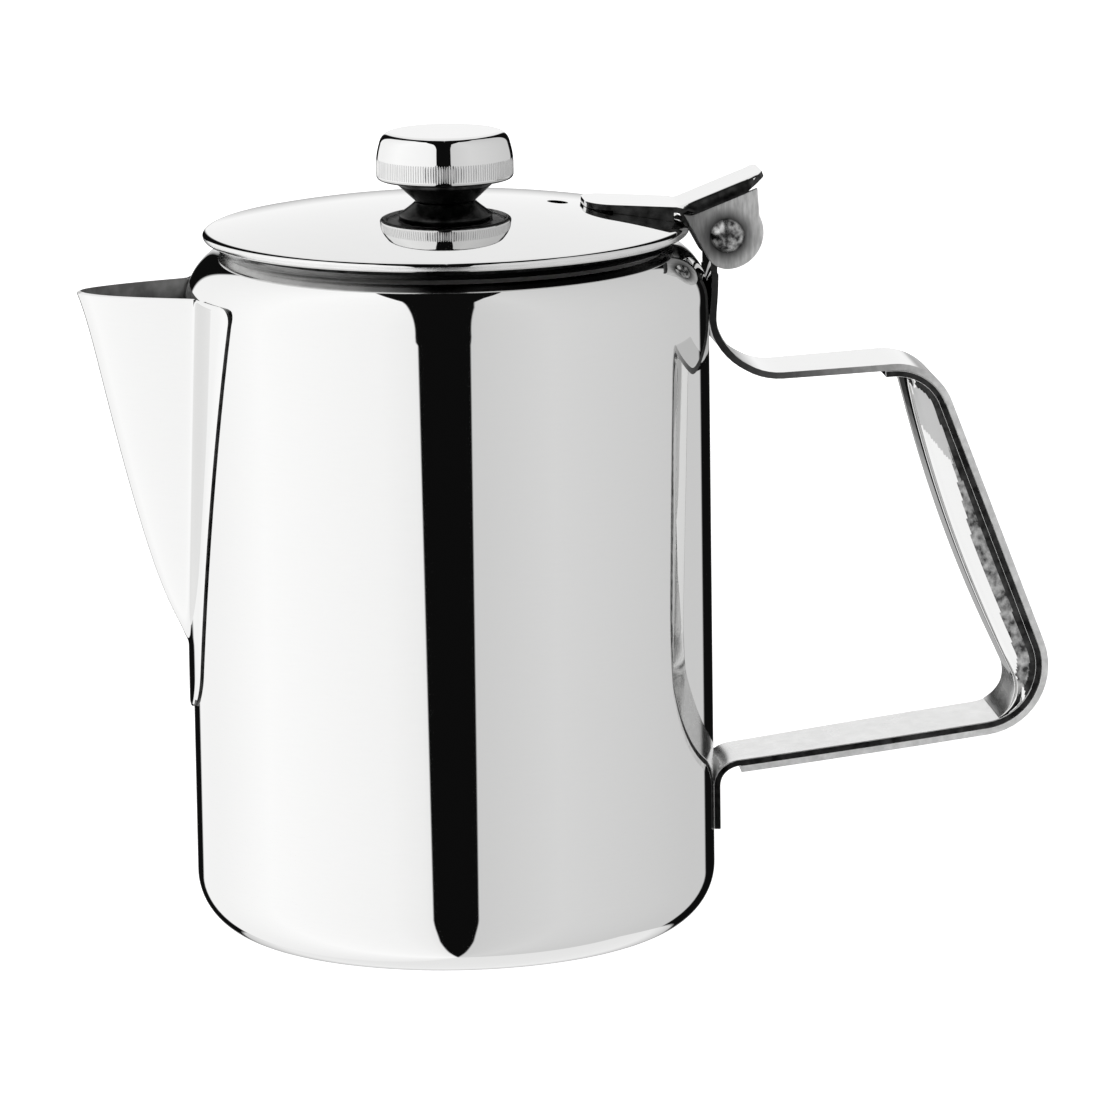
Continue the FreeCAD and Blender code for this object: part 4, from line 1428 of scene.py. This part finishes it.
class COFFEEPOT_OT_stage(bpy.types.Operator):
    """Set out the floor, the light tent and the camera"""
    bl_idname = "coffeepot.stage"
    bl_label = "Stage"

    def execute(self, context):
        look = settings("pot_studio")
        scene = context.scene
        scene.view_settings.view_transform = "Standard"
        world = bpy.data.worlds.new("light_tent")
        world.use_nodes = True
        scene.world = world
        tree = world.node_tree
        background = tree.nodes["Background"]
        link(tree, light_tent(tree, look.azimuth), background.inputs["Color"])
        background.inputs["Strength"].default_value = look.brightness
        floor = add("plane", "stage_floor", size=look.floor_size)
        floor.visible_glossy = False
        pale = bpy.data.materials.new("pale_floor")
        pale.use_nodes = True
        shader = pale.node_tree.nodes["Principled BSDF"]
        shader.inputs["Base Color"].default_value = (*look.floor_colour, 1)
        shader.inputs["Roughness"].default_value = 0.9
        shader.inputs["Specular IOR Level"].default_value = 0.0
        shader.inputs["Emission Color"].default_value = (1, 1, 1, 1)
        shader.inputs["Emission Strength"].default_value = look.floor_glow
        floor.data.materials.append(pale)
        self.place_camera(context, look)
        return {"FINISHED"}

    def place_camera(self, context, look):
        """Camera where the photograph was taken, aimed a little past the middle of the pot."""
        target = Vector((0, 0, 70 * MM))
        place = target + Vector((0, -math.cos(look.elevation), math.sin(look.elevation))) * look.distance
        yaw = math.radians(0.725)
        pitch = math.radians(0.1036)
        roll = math.radians(-0.8244)
        ahead = (target - place).normalized()
        right = ahead.cross(Vector((0, 0, 1))).normalized()
        up = right.cross(ahead)
        ahead = (ahead * math.cos(yaw) * math.cos(pitch) + right * math.sin(yaw) * math.cos(pitch)
                 + up * math.sin(pitch)).normalized()
        right = ahead.cross(Vector((0, 0, 1))).normalized()
        up = right.cross(ahead)
        side = right * math.cos(roll) + up * math.sin(roll)
        top = up * math.cos(roll) - right * math.sin(roll)
        turn = Matrix.Rotation(-look.azimuth, 4, "Z")
        axes = Matrix((side, top, -ahead)).transposed().to_4x4()
        deselect_all()
        bpy.ops.object.camera_add()
        camera = context.object
        camera.name = "photo_camera"
        camera.data.lens = look.lens
        camera.data.sensor_width = 36
        camera.data.clip_start = 0.01
        camera.matrix_world = turn @ Matrix.Translation(place) @ axes
        context.scene.camera = camera


STEPS = ("body", "spout", "outer_strap", "inner_strap", "lid", "lid_collar", "hinge_leaf", "hinge_pin",
         "knob", "knob_fixing", "stage")


class COFFEEPOT_PT_panel(bpy.types.Panel):
    """Lists the steps that make the pot"""
    bl_idname = "COFFEEPOT_PT_panel"
    bl_label = "Coffee pot"
    bl_space_type = "VIEW_3D"
    bl_region_type = "UI"
    bl_category = "Coffee pot"

    def draw(self, context):
        for step in STEPS:
            self.layout.operator("coffeepot." + step)


GROUPS = {
    "pot_body": BodySizes,
    "pot_spout": SpoutSizes,
    "pot_handle": HandleSizes,
    "pot_lid": LidSizes,
    "pot_hinge": HingeSizes,
    "pot_knob": KnobSizes,
    "pot_steel": SteelFinish,
    "pot_studio": StudioLook,
}
OPERATORS = (COFFEEPOT_OT_body, COFFEEPOT_OT_spout, COFFEEPOT_OT_outer_strap, COFFEEPOT_OT_inner_strap,
             COFFEEPOT_OT_lid, COFFEEPOT_OT_lid_collar, COFFEEPOT_OT_hinge_leaf, COFFEEPOT_OT_hinge_pin,
             COFFEEPOT_OT_knob, COFFEEPOT_OT_knob_fixing, COFFEEPOT_OT_stage)


def register():
    for name, group in GROUPS.items():
        bpy.utils.register_class(group)
        setattr(bpy.types.Scene, name, PointerProperty(type=group))
    for operator in OPERATORS:
        bpy.utils.register_class(operator)
    bpy.utils.register_class(COFFEEPOT_PT_panel)


def unregister():
    bpy.utils.unregister_class(COFFEEPOT_PT_panel)
    for operator in reversed(OPERATORS):
        bpy.utils.unregister_class(operator)
    for name, group in GROUPS.items():
        delattr(bpy.types.Scene, name)
        bpy.utils.unregister_class(group)


def main():
    register()
    for step in STEPS:
        getattr(bpy.ops.coffeepot, step)()


if __name__ == "__main__":
    main()
